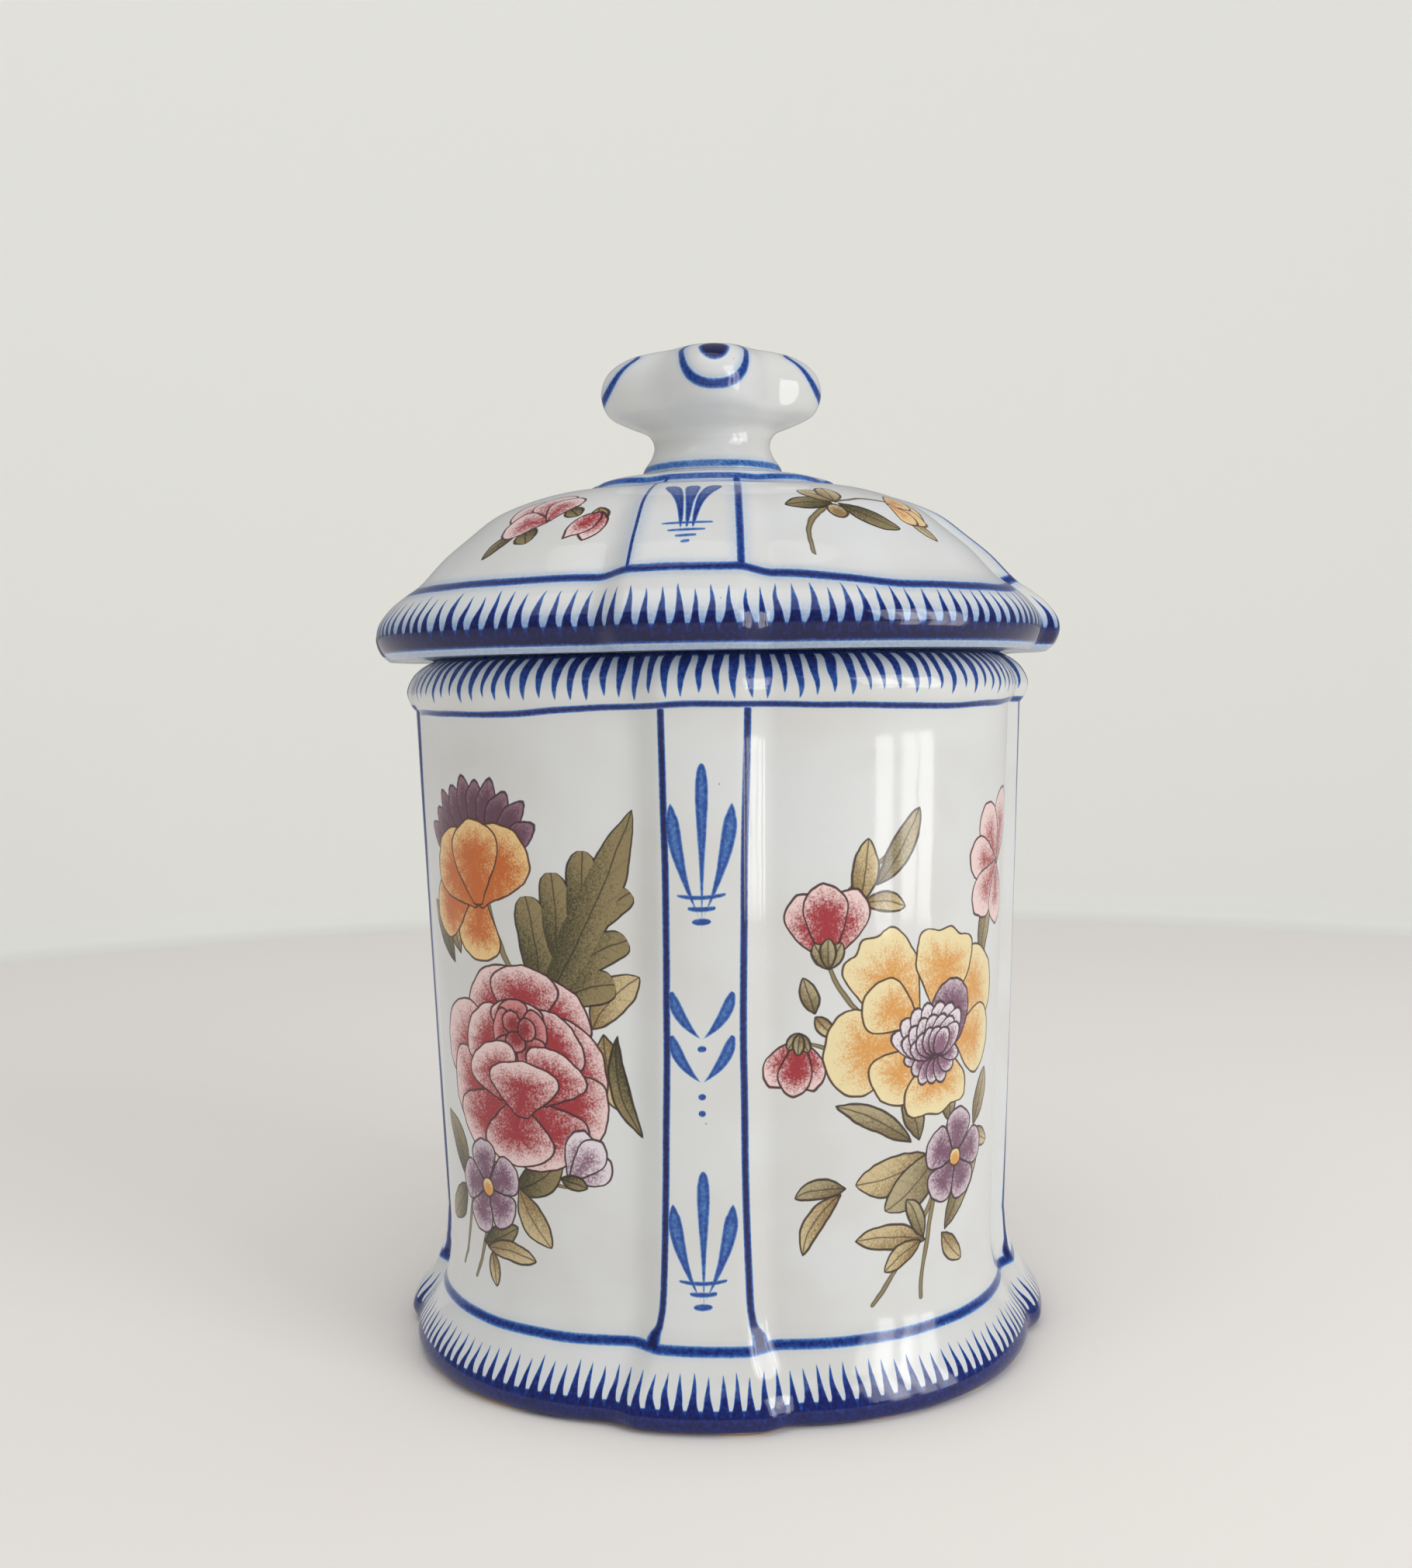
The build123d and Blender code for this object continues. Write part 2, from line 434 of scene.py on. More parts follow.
class Stroke(Enum):
    """Half widths of brush strokes along their length, from foot to tip, as shares."""

    DROP = ((0, 0.1), (0.3, 0.42), (0.6, 0.84), (0.8, 1), (0.92, 0.8), (0.98, 0.45), (1, 0))
    LANCE = ((0, 0.1), (0.3, 0.5), (0.62, 0.95), (0.75, 1), (0.9, 0.62), (1, 0))
    CLUB = ((0, 0), (0.05, 0.15), (0.4, 0.5), (0.7, 0.86), (0.88, 1), (0.96, 0.75), (1, 0))
    BLADE = ((0, 0), (0.15, 0.35), (0.5, 0.9), (0.7, 1), (0.9, 0.7), (1, 0))
    BAR = ((0, 0), (0.06, 0.7), (0.3, 1), (0.7, 0.95), (0.93, 0.8), (1, 0))
    DOT = ((0, 0), (0.07, 0.5), (0.2, 0.8), (0.5, 1), (0.8, 0.8), (0.93, 0.5), (1, 0))
    STEM = ((0, 0), (0.02, 0.7), (0.3, 0.85), (0.7, 1), (0.98, 0.8), (1, 0))
    LOBE = ((0, 0), (0.06, 0.3), (0.25, 0.76), (0.5, 1), (0.75, 0.97), (0.9, 0.78), (0.97, 0.48), (1, 0))
    LEAF = ((0, 0), (0.06, 0.24), (0.22, 0.72), (0.45, 1), (0.65, 0.96), (0.82, 0.68), (0.94, 0.32), (1, 0))


@dataclass(frozen=True)
class Glaze:
    """White tin glaze over buff clay, warmer in clouds, with a few dark specks, soft waves and pits."""

    white: Colour = srgb(225, 227, 227)
    warm: Colour = srgb(220, 220, 217)
    clay: Colour = srgb(196, 160, 118)
    dark_clay: Colour = srgb(180, 142, 102)
    clay_roughness: float = 0.5
    cloud_size: float = 22.0
    speck: Colour = srgb(120, 108, 96)
    speck_spacing: float = 6.25
    speck_edge: Place = (0.018, 0.032)
    speck_patch: float = 9.0
    speck_strength: float = 0.7
    ior: float = 1.5
    roughness: float = 0.07
    rough_spread: float = 1.9
    rough_patch: float = 7.0
    wave_size: float = 14.0
    wave_height: float = 0.08
    ripple_size: float = 4.0
    ripple_height: float = 0.02
    pit_size: float = 1.1
    pit_depth: float = 0.006

    def bare(self) -> "Glaze":
        """The clay where no glaze covers it."""
        return replace(self, white=self.clay, warm=self.dark_clay, roughness=self.clay_roughness)


class Canvas:
    """Node tree under work, with the drawing tools that materials and stamps share."""

    def __init__(self, tree: bpy.types.NodeTree) -> None:
        """Takes up a tree."""
        self.tree = tree

    def plug(self, value: object, socket: bpy.types.NodeSocket) -> None:
        """Links a tone or an output to an input, or sets the input to a plain value.

        Args:
            value: The tone, output or plain value.
            socket: The input.
        """
        if isinstance(value, Tone):
            value = value.socket
        if isinstance(value, bpy.types.NodeSocket):
            self.tree.links.new(value, socket)
        elif socket.type == "RGBA":
            socket.default_value = (*value, 1.0)
        elif socket.type == "VECTOR":
            socket.default_value = (*value, *(0.0,) * (3 - len(value)))
        else:
            socket.default_value = value

    def tone(self, socket: bpy.types.NodeSocket) -> Tone:
        """Wraps an output."""
        return Tone(self.tree, socket)

    def vector(self, operation: str, first: object, second: object) -> bpy.types.Node:
        """Adds a vector maths node.

        Args:
            operation: Blender's name of the operation.
            first, second: Its two inputs.

        Returns:
            The node.
        """
        node = self.tree.nodes.new("ShaderNodeVectorMath")
        node.operation = operation
        self.plug(first, node.inputs[0])
        self.plug(second, node.inputs[1])
        return node

    def mix(self, under: object, over: object, share: Tone) -> bpy.types.NodeSocket:
        """Lays one colour over another.

        Args:
            under, over: Colours, as values or node outputs.
            share: How much of the upper colour shows.

        Returns:
            The mixed colour.
        """
        node = self.tree.nodes.new("ShaderNodeMix")
        node.data_type = "RGBA"
        self.plug(share, node.inputs[0])
        self.plug(under, node.inputs[6])
        self.plug(over, node.inputs[7])
        return node.outputs[2]

    def plane(self, across: Tone, along: Tone) -> bpy.types.NodeSocket:
        """Joins two tones into flat drawing coordinates.

        Args:
            across, along: The two tones, in millimetres.

        Returns:
            The drawing coordinates.
        """
        node = self.tree.nodes.new("ShaderNodeCombineXYZ")
        self.plug(across, node.inputs[0])
        self.plug(along, node.inputs[1])
        return node.outputs[0]

    def lay_in(self, plane: object, at: object, across: object, along: object) -> tuple[Tone, Tone]:
        """Moves drawing coordinates to a mark's own.

        Args:
            plane: Drawing coordinates.
            at: Where the mark's origin lies.
            across, along: The mark's own two axes, each over its unit.

        Returns:
            The coordinates across and along the mark.
        """
        away = self.vector("SUBTRACT", plane, at).outputs[0]
        own = [self.vector("DOT_PRODUCT", away, axis).outputs["Value"] for axis in (across, along)]
        return self.tone(own[0]), self.tone(own[1])

    def upright(self, plane: object, up: float, wide: float, tall: float) -> tuple[Tone, Tone]:
        """Coordinates of an upright mark at a height, as shares of its half sizes."""
        return self.lay_in(plane, (0.0, up), (1 / wide, 0.0), (0.0, 1 / tall))


class Stamp(Canvas):
    """Node group that paints one kind of mark wherever it is pressed.

    Edges, hearts and lines are pairs of distances between which the colour changes, from the mark's
    outline, from its rib or, as shares of their spacing, from its veins. Shades are pairs of values
    between which the colour goes from deep to pale.
    """

    placing = ("At:V", "Across:V", "Along:V")
    bowing = ("Bow:F", "Half:F")
    painting = ("Deep:C", "Pale:C", "Line:C")
    line_strength = 0.96
    brush_edge = (-0.28, 0.34)
    brush_heart = (0.25, 0.95)
    heart_paling = 0.16
    stem_edge = (-0.14, 0.14)
    stem_heart = (0.05, 0.34)
    leaf_edge = (-0.06, 0.1)
    leaf_line = (0.13, 0.32)
    leaf_shade = (-0.05, 1.0)
    leaf_lean = 0.3
    rib_edge = (0.06, 0.24)
    rib_strength = 0.75
    vein_count = 5.0
    vein_slope = 0.9
    vein_edge = (0.02, 0.1)
    vein_strength = 0.16
    petal_edge = (-0.08, 0.08)
    petal_line = (0.12, 0.3)
    petal_shade = (-0.58, 0.4)
    petal_rise = 0.62
    streak_count = 34.0
    streak_strength = 0.07

    def __init__(self, name: str, takes: Sequence[str], gives_colour: bool) -> None:
        """Starts the group.

        Args:
            name: Its name.
            takes: Its inputs; a colon and V, C or F says vector, colour or value.
            gives_colour: Whether it gives a colour or a value.
        """
        super().__init__(bpy.data.node_groups.new(name, "ShaderNodeTree"))
        kinds = {"V": "NodeSocketVector", "C": "NodeSocketColor", "F": "NodeSocketFloat"}
        for entry in takes:
            label, kind = entry.split(":")
            self.tree.interface.new_socket(name=label, in_out="INPUT", socket_type=kinds[kind])
        result = kinds["C" if gives_colour else "F"]
        self.tree.interface.new_socket(name="Mark", in_out="OUTPUT", socket_type=result)
        self.inlet = self.tree.nodes.new("NodeGroupInput")

    def take(self, label: str) -> Tone:
        """One of the group's inputs."""
        return self.tone(self.inlet.outputs[label])

    def give(self, value: object) -> "Stamp":
        """Sets the group's result.

        Args:
            value: The result.

        Returns:
            The stamp.
        """
        outlet = self.tree.nodes.new("NodeGroupOutput")
        self.plug(value, outlet.inputs[0])
        return self

    def own_place(self) -> tuple[Tone, Tone]:
        """The mark's own coordinates, from the inputs Plane, At, Across and Along."""
        return self.lay_in(*(self.take(label) for label in ("Plane", "At", "Across", "Along")))

    def tapered(self, shape: Stroke) -> tuple[Tone, Tone, Tone]:
        """A bowed mark whose width runs along it, from the inputs Bow and Half as well.

        Args:
            shape: How its width runs.

        Returns:
            The depth inside its edge in millimetres, and the places across and along it as shares.
        """
        across, along = self.own_place()
        across = (along * (1.0 - along)).maths("MULTIPLY_ADD", self.take("Bow"), across)
        return (along.curve(shape.value) - across.size()) * self.take("Half"), across, along

    @classmethod
    @cache
    def stroke(cls, shape: Stroke) -> "Stamp":
        """Stamp of a cobalt brush stroke with bleeding edges and a paler heart.

        Args:
            shape: How its width runs.

        Returns:
            The stamp, made once for each shape.
        """
        takes = ("Plane:V", *cls.placing, *cls.bowing, "Strength:F")
        stamp = cls("stroke_" + shape.name.lower(), takes, gives_colour=False)
        inside, _, _ = stamp.tapered(shape)
        pale = inside.ramp(*cls.brush_heart, 0.0, cls.heart_paling)
        return stamp.give(inside.ramp(*cls.brush_edge) * stamp.take("Strength") - pale)

    @classmethod
    @cache
    def stem(cls) -> "Stamp":
        """Stamp of a flower's stem, with dark edges.

        Returns:
            The stamp, made once.
        """
        takes = ("Under:C", "Plane:V", *cls.placing, *cls.bowing, "Pale:C", "Line:C")
        stamp = cls("stem", takes, gives_colour=True)
        inside, _, _ = stamp.tapered(Stroke.STEM)
        fill = stamp.mix(stamp.take("Line"), stamp.take("Pale"), inside.ramp(*cls.stem_heart))
        return stamp.give(stamp.mix(stamp.take("Under"), fill, inside.ramp(*cls.stem_edge)))

    @classmethod
    @cache
    def leaf(cls, shape: Stroke) -> "Stamp":
        """Stamp of a leaf with veins.

        Args:
            shape: How its width runs.

        Returns:
            The stamp, made once for each shape.
        """
        takes = ("Under:C", "Plane:V", "Grain:F", *cls.placing, *cls.bowing, "Edge:F", *cls.painting)
        stamp = cls("leaf_" + shape.name.lower(), takes, gives_colour=True)
        inside, across, along = stamp.tapered(shape)
        mask = inside.ramp(*cls.leaf_edge)
        shade = across.maths("MULTIPLY_ADD", cls.leaf_lean, along) + stamp.take("Grain")
        fill = stamp.mix(stamp.take("Deep"), stamp.take("Pale"), shade.ramp(*cls.leaf_shade))
        side = across.size()
        rib = (side * stamp.take("Half")).fade(*cls.rib_edge, cls.rib_strength)
        veins = (along * cls.vein_count - side * cls.vein_slope).maths("FRACT") - 0.5
        veins = veins.size().fade(*cls.vein_edge, cls.vein_strength)
        edge = inside.size().fade(*cls.leaf_line, cls.line_strength) * stamp.take("Edge")
        painted = stamp.mix(fill, stamp.take("Line"), rib.most(veins))
        painted = stamp.mix(stamp.take("Under"), painted, mask)
        ends = along.ramp(-0.02, 0.0) * along.fade(1.0, 1.03)
        return stamp.give(stamp.mix(painted, stamp.take("Line"), edge * ends))

    @classmethod
    @cache
    def petal(cls, form: "Form", ripples: int) -> "Stamp":
        """Stamp of a petal, pale at its edge and deep at its base.

        Args:
            form: Its outline.
            ripples: Number of scallops on each half of its tip.

        Returns:
            The stamp, made once for each outline.
        """
        takes = ("Under:C", "Plane:V", "Grain:F", *cls.placing, "Unit:F", "Light:F", *cls.painting)
        stamp = cls("petal_%s_%d" % (form.name.lower(), ripples), takes, gives_colour=True)
        across, along = stamp.own_place()
        turn = across.maths("ARCTAN2", along) * (1 / math.pi)
        outside = across.reach(along) - turn.size().curve(form.polar(ripples))
        reach = outside * stamp.take("Unit")
        streaks = (turn * cls.streak_count).maths("SINE") * cls.streak_strength
        shade = along.maths("MULTIPLY_ADD", cls.petal_rise, outside) + stamp.take("Grain") + streaks
        shade = (shade + stamp.take("Light")).ramp(*cls.petal_shade)
        fill = stamp.mix(stamp.take("Deep"), stamp.take("Pale"), shade)
        painted = stamp.mix(stamp.take("Under"), fill, reach.fade(*cls.petal_edge))
        line = reach.size().fade(*cls.petal_line, cls.line_strength)
        return stamp.give(stamp.mix(painted, stamp.take("Line"), line))


class Surface(Canvas):
    """A glazed material under work: its coordinates, its blue and its colours."""

    blue_edge = (0.02, 0.34)
    mottle_size = 0.7
    mottle_depth = 0.56
    mottle_middle = 0.26
    bleed_width = 2.4

    def __init__(self, name: str, glaze: Glaze, turn: float = 0.0, twist: float = 0.0) -> None:
        """Starts the material with plain glaze.

        Args:
            name: Name of the material.
            glaze: The glaze.
            turn: How far the piece is turned about the axis.
            twist: Further turn for each 100 mm of height.
        """
        self.glaze = glaze
        self.material = bpy.data.materials.new(name)
        self.material.use_nodes = True
        super().__init__(self.material.node_tree)
        self.tree.nodes.clear()
        coords = self.tree.nodes.new("ShaderNodeTexCoord")
        scale = self.tree.nodes.new("ShaderNodeVectorMath")
        scale.operation = "SCALE"
        scale.inputs["Scale"].default_value = 1 / MM
        self.plug(coords.outputs["Object"], scale.inputs[0])
        self.place = scale.outputs[0]
        parts = self.tree.nodes.new("ShaderNodeSeparateXYZ")
        self.plug(self.place, parts.inputs[0])
        self.x, self.y, self.z = (self.tone(out) for out in parts.outputs)
        self.radius = self.x.reach(self.y)
        self.theta = self.y.maths("ARCTAN2", self.x) - math.radians(turn)
        if twist:
            self.theta = self.theta - self.z * math.radians(twist / 100)
        self.colour = self._ground()
        self.cobalt: Tone | None = None

    def noise(self, size: float, detail: float = 1.0) -> Tone:
        """Soft cloudy noise round one half.

        Args:
            size: Size of its features.
            detail: Number of finer layers.

        Returns:
            The noise.
        """
        node = self.tree.nodes.new("ShaderNodeTexNoise")
        node.inputs["Scale"].default_value = 1 / size
        node.inputs["Detail"].default_value = detail
        self.plug(self.place, node.inputs["Vector"])
        return self.tone(node.outputs[0])

    def sway(self, size: float, amount: float, detail: float = 1.0) -> Tone:
        """Noise that goes to either side of nothing, with its amount from one extreme to the other."""
        return (self.noise(size, detail) - 0.5) * amount

    def press(self, stamp: Stamp, **values: object) -> bpy.types.NodeSocket:
        """Presses a stamp.

        Args:
            stamp: The stamp.
            values: Its inputs by name.

        Returns:
            Its result.
        """
        node = self.tree.nodes.new("ShaderNodeGroup")
        node.node_tree = stamp.tree
        for label, value in values.items():
            self.plug(value, node.inputs[label])
        return node.outputs[0]

    def lay(self, over: object, share: Tone) -> None:
        """Lays a colour over what is painted so far."""
        self.colour = self.mix(self.colour, over, share)

    def _ground(self) -> bpy.types.NodeSocket:
        """White glaze, a little warmer where it lies thin, with dark specks.

        Returns:
            The colour.
        """
        cloud = self.noise(self.glaze.cloud_size, 2.0).ramp(0.35, 0.7)
        ground = self.mix(self.glaze.white, self.glaze.warm, cloud)
        speck = self.tree.nodes.new("ShaderNodeTexVoronoi")
        speck.inputs["Scale"].default_value = 1 / self.glaze.speck_spacing
        self.plug(self.place, speck.inputs["Vector"])
        spot = self.tone(speck.outputs["Distance"]).fade(*self.glaze.speck_edge)
        rare = self.noise(self.glaze.speck_patch).ramp(0.56, 0.6)
        return self.mix(ground, self.glaze.speck, spot * rare * self.glaze.speck_strength)

    @staticmethod
    def local(turns: Tone) -> Tone:
        """Angle from the middle of the nearest quarter, in radians."""
        return turns.maths("WRAP", QUARTER / 2, -QUARTER / 2)

    def across(self) -> Tone:
        """Distance to the right of the nearest pilaster's middle."""
        return self.local(self.theta).maths("SINE") * self.radius

    def brush(self, depth: Tone) -> None:
        """Adds cobalt, from 0 for none to 1 for the thickest."""
        self.cobalt = depth if self.cobalt is None else self.cobalt.most(depth)

    def wipe(self, share: Tone) -> None:
        """Takes a share of the cobalt away."""
        self.cobalt = self.cobalt * (1.0 - share)

    def line(self, distance: Tone, half: float, strength: float, bleed: float = 0.1) -> None:
        """Draws a cobalt line with bleeding edges.

        Args:
            distance: Distance from the line's middle, with either sign.
            half: Half of its width.
            strength: Depth of the blue in the middle.
            bleed: Depth of the breath of blue beside it.
        """
        away = distance.size()
        self.brush(away.fade(half * 0.2, half * 1.8, strength))
        self.brush(away.fade(half, half + self.bleed_width, bleed))

    def blue_stroke(self, plane: bpy.types.NodeSocket, foot: Place, tip: Place, half: float, shape: Stroke,
                    bend: float = 0.0, strength: float = 0.6) -> None:
        """Paints a cobalt brush stroke with bleeding edges.

        Args:
            plane: Drawing coordinates.
            foot, tip: Ends of the stroke.
            half: Half of its width at the widest.
            shape: How its width runs.
            bend: How far its middle bows to the right of the way from foot to tip.
            strength: Depth of the blue in the middle.
        """
        placed = bowed(foot, tip, half, bend)
        self.brush(self.tone(self.press(Stamp.stroke(shape), Plane=plane, Strength=strength, **placed)))

    def settle_blue(self) -> None:
        """Turns the gathered cobalt into colour over the glaze, mottled as it flows."""
        if self.cobalt is None:
            return
        mottle = self.noise(self.mottle_size, 3.0)
        depth = mottle.maths("MULTIPLY_ADD", self.mottle_depth, self.cobalt) - self.mottle_middle
        node = self.tree.nodes.new("ShaderNodeValToRGB")
        bar = node.color_ramp
        while len(bar.elements) < len(Cobalt):
            bar.elements.new(0.5)
        for element, step in zip(bar.elements, Cobalt):
            element.position, blue = step.value
            element.color = (*blue, 1.0)
        self.plug(depth, node.inputs[0])
        self.lay(node.outputs[0], self.cobalt.ramp(*self.blue_edge))

    def finish(self) -> bpy.types.Material:
        """Adds the glossy shader with its soft waves and pits.

        Returns:
            The finished material.
        """
        self.settle_blue()
        glaze = self.glaze
        shader = self.tree.nodes.new("ShaderNodeBsdfPrincipled")
        self.plug(self.colour, shader.inputs["Base Color"])
        shader.inputs["IOR"].default_value = glaze.ior
        patch = self.noise(glaze.rough_patch, 3.0)
        patch = patch.ramp(0.3, 0.75, glaze.roughness, glaze.roughness * glaze.rough_spread)
        self.plug(patch, shader.inputs["Roughness"])
        waves = self.noise(glaze.wave_size) * glaze.wave_height
        waves = self.noise(glaze.ripple_size).maths("MULTIPLY_ADD", glaze.ripple_height, waves)
        pits = self.noise(glaze.pit_size).ramp(0.66, 0.76, 0.0, -glaze.pit_depth)
        bump = self.tree.nodes.new("ShaderNodeBump")
        bump.inputs["Distance"].default_value = MM
        self.plug(waves + pits, bump.inputs["Height"])
        self.plug(bump.outputs[0], shader.inputs["Normal"])
        out = self.tree.nodes.new("ShaderNodeOutputMaterial")
        self.plug(shader.outputs[0], out.inputs["Surface"])
        return self.material


def bowed(foot: Place, tip: Place, half: float, bend: float) -> dict[str, object]:
    """Inputs that place a bowed mark.

    Args:
        foot, tip: Its ends.
        half: Half of its width.
        bend: How far its middle bows to the right of the way from foot to tip.

    Returns:
        The inputs by name.
    """
    dx, dy = tip[0] - foot[0], tip[1] - foot[1]
    turned = axes(math.atan2(-dx, dy), half, math.hypot(dx, dy))
    return {"At": foot, "Bow": -4 * bend / half, "Half": half, **turned}


def axes(turn: float, wide: float, tall: float) -> dict[str, Place]:
    """Inputs that turn and size a mark: its two axes, each over its unit.

    Args:
        turn: Which way it grows, in radians anticlockwise from upwards.
        wide, tall: Its units across and along.

    Returns:
        The inputs by name.
    """
    return {"Across": (math.cos(turn) / wide, math.sin(turn) / wide),
            "Along": (-math.sin(turn) / tall, math.cos(turn) / tall)}


FLARED: Points = ((0, 0.92), (0.05, 0.74), (0.14, 0.6), (0.35, 0.43), (0.6, 0.27), (0.85, 0.11), (1, 0))
WEDGE: Points = ((0, 0.66), (0.3, 0.54), (0.6, 0.37), (0.85, 0.2), (1, 0))


@dataclass(frozen=True)
class Teeth:
    """Border of pointed brush strokes that stand on a dark band, from a base height to a tip height.

    Haze, deep, tip_depth, band and band_top are depths of the blue. Each tooth's length and width is
    its least share and a chance part of its spread.
    """

    count: int
    base: float
    tip: float
    haze: float = 0.1
    deep: float = 0.84
    tip_depth: float = 0.56
    shape: Points = FLARED
    band: float = 0.99
    band_top: float = 0.64
    sway_size: float = 9.0
    sway: float = 0.8
    least_length: float = 0.84
    length_spread: float = 0.18
    least_width: float = 0.88
    width_spread: float = 0.24
    edge: Place = (-0.15, 0.13)

    def paint(self, surface: Surface) -> None:
        """Paints the border.

        Args:
            surface: The material under work.
        """
        turns = surface.theta * (self.count / (2 * math.pi))
        turns = turns + surface.sway(self.sway_size, self.sway)
        node = surface.tree.nodes.new("ShaderNodeTexWhiteNoise")
        node.noise_dimensions = "1D"
        surface.plug(turns.maths("FLOOR"), node.inputs["W"])
        chance = surface.tone(node.outputs["Value"])
        side = (turns.maths("FRACT") - 0.5).size() * 2.0
        way = surface.z.ramp(self.base, self.tip, smooth=False)
        along = way.most(0.0).over(chance.maths("MULTIPLY_ADD", self.length_spread, self.least_length))
        width = along.curve(self.shape) * chance.maths("MULTIPLY_ADD", self.width_spread, self.least_width)
        tooth = (width - side).ramp(*self.edge) * way.ramp(0.0, 1.0, self.deep, self.tip_depth)
        surface.brush(tooth * along.fade(0.97, 1.04))
        surface.brush(way.fade(-0.1, 1.0, self.haze))
        surface.brush(way.ramp(-0.3, 0.12, self.band, self.band_top) * way.fade(0.02, 0.1))


@dataclass(frozen=True)
class Paint:
    """Overglaze colour of a petal or leaf, from where it lies thick to where it lies thin."""

    deep: Colour
    pale: Colour
    line: Colour


ROSE = Paint(srgb(164, 46, 56), srgb(242, 214, 211), srgb(66, 26, 30))
CRIMSON = Paint(srgb(142, 34, 44), srgb(214, 142, 142), srgb(66, 24, 30))
AMBER = Paint(srgb(202, 104, 36), srgb(242, 208, 146), srgb(76, 44, 26))
GOLD = Paint(srgb(222, 158, 82), srgb(240, 224, 176), srgb(78, 50, 30))
PLUM = Paint(srgb(100, 64, 82), srgb(146, 110, 126), srgb(60, 38, 52))
VIOLET = Paint(srgb(122, 82, 106), srgb(214, 196, 206), srgb(58, 36, 46))
LILAC = Paint(srgb(140, 98, 122), srgb(234, 224, 230), srgb(64, 42, 52))
OLIVE = Paint(srgb(66, 62, 34), srgb(146, 130, 90), srgb(42, 32, 22))
SAGE = Paint(srgb(120, 104, 70), srgb(182, 168, 132), srgb(56, 42, 28))
OCHRE = Paint(srgb(144, 118, 74), srgb(212, 192, 148), srgb(58, 42, 28))
STALK = Paint(srgb(108, 92, 56), srgb(146, 130, 92), srgb(54, 40, 28))


HALF_SIZE = 0.8
SCALLOP_DEPTH = 0.05


class Form(Enum):
    """Half widths of petals along them, from base to tip, both as shares of half sizes."""

    FAN = ((-1, 0.14), (-0.6, 0.46), (-0.2, 0.76), (0.2, 0.96), (0.5, 1), (0.75, 0.88), (0.92, 0.58), (1, 0))
    ROUND = ((-1, 0), (-0.9, 0.42), (-0.6, 0.8), (-0.1, 1), (0.3, 0.98), (0.7, 0.74), (0.92, 0.4), (1, 0))
    POINT = ((-1, 0), (-0.85, 0.36), (-0.5, 0.78), (-0.1, 1), (0.3, 0.9), (0.65, 0.58), (0.88, 0.24), (1, 0))

    def polar(self, ripples: int) -> list[Place]:
        """Distance of the edge from the middle, by angle from the tip over a half turn.

        Args:
            ripples: Number of scallops on each half of the tip.

        Returns:
            Points of the curve, where HALF_SIZE is a half size.
        """
        along = np.linspace(-1, 1, 161)[::-1]
        wide = np.interp(along, *zip(*self.value))
        turns, reach = np.arctan2(wide, along) / math.pi, np.hypot(wide, along) * HALF_SIZE
        places = np.array([0, 0.03, 0.07, 0.12, 0.18, 0.25, 0.33, 0.42, 0.5, 0.6, 0.7, 0.8, 0.9, 0.96, 1.0])
        edge = np.interp(places, turns, reach)
        if ripples:
            scallops = 1 - np.cos(places * 2 * math.pi * ripples * 2)
            edge = edge * (1 - SCALLOP_DEPTH * scallops * (places < 0.5))
        return [(float(a), float(r)) for a, r in zip(places, edge)]


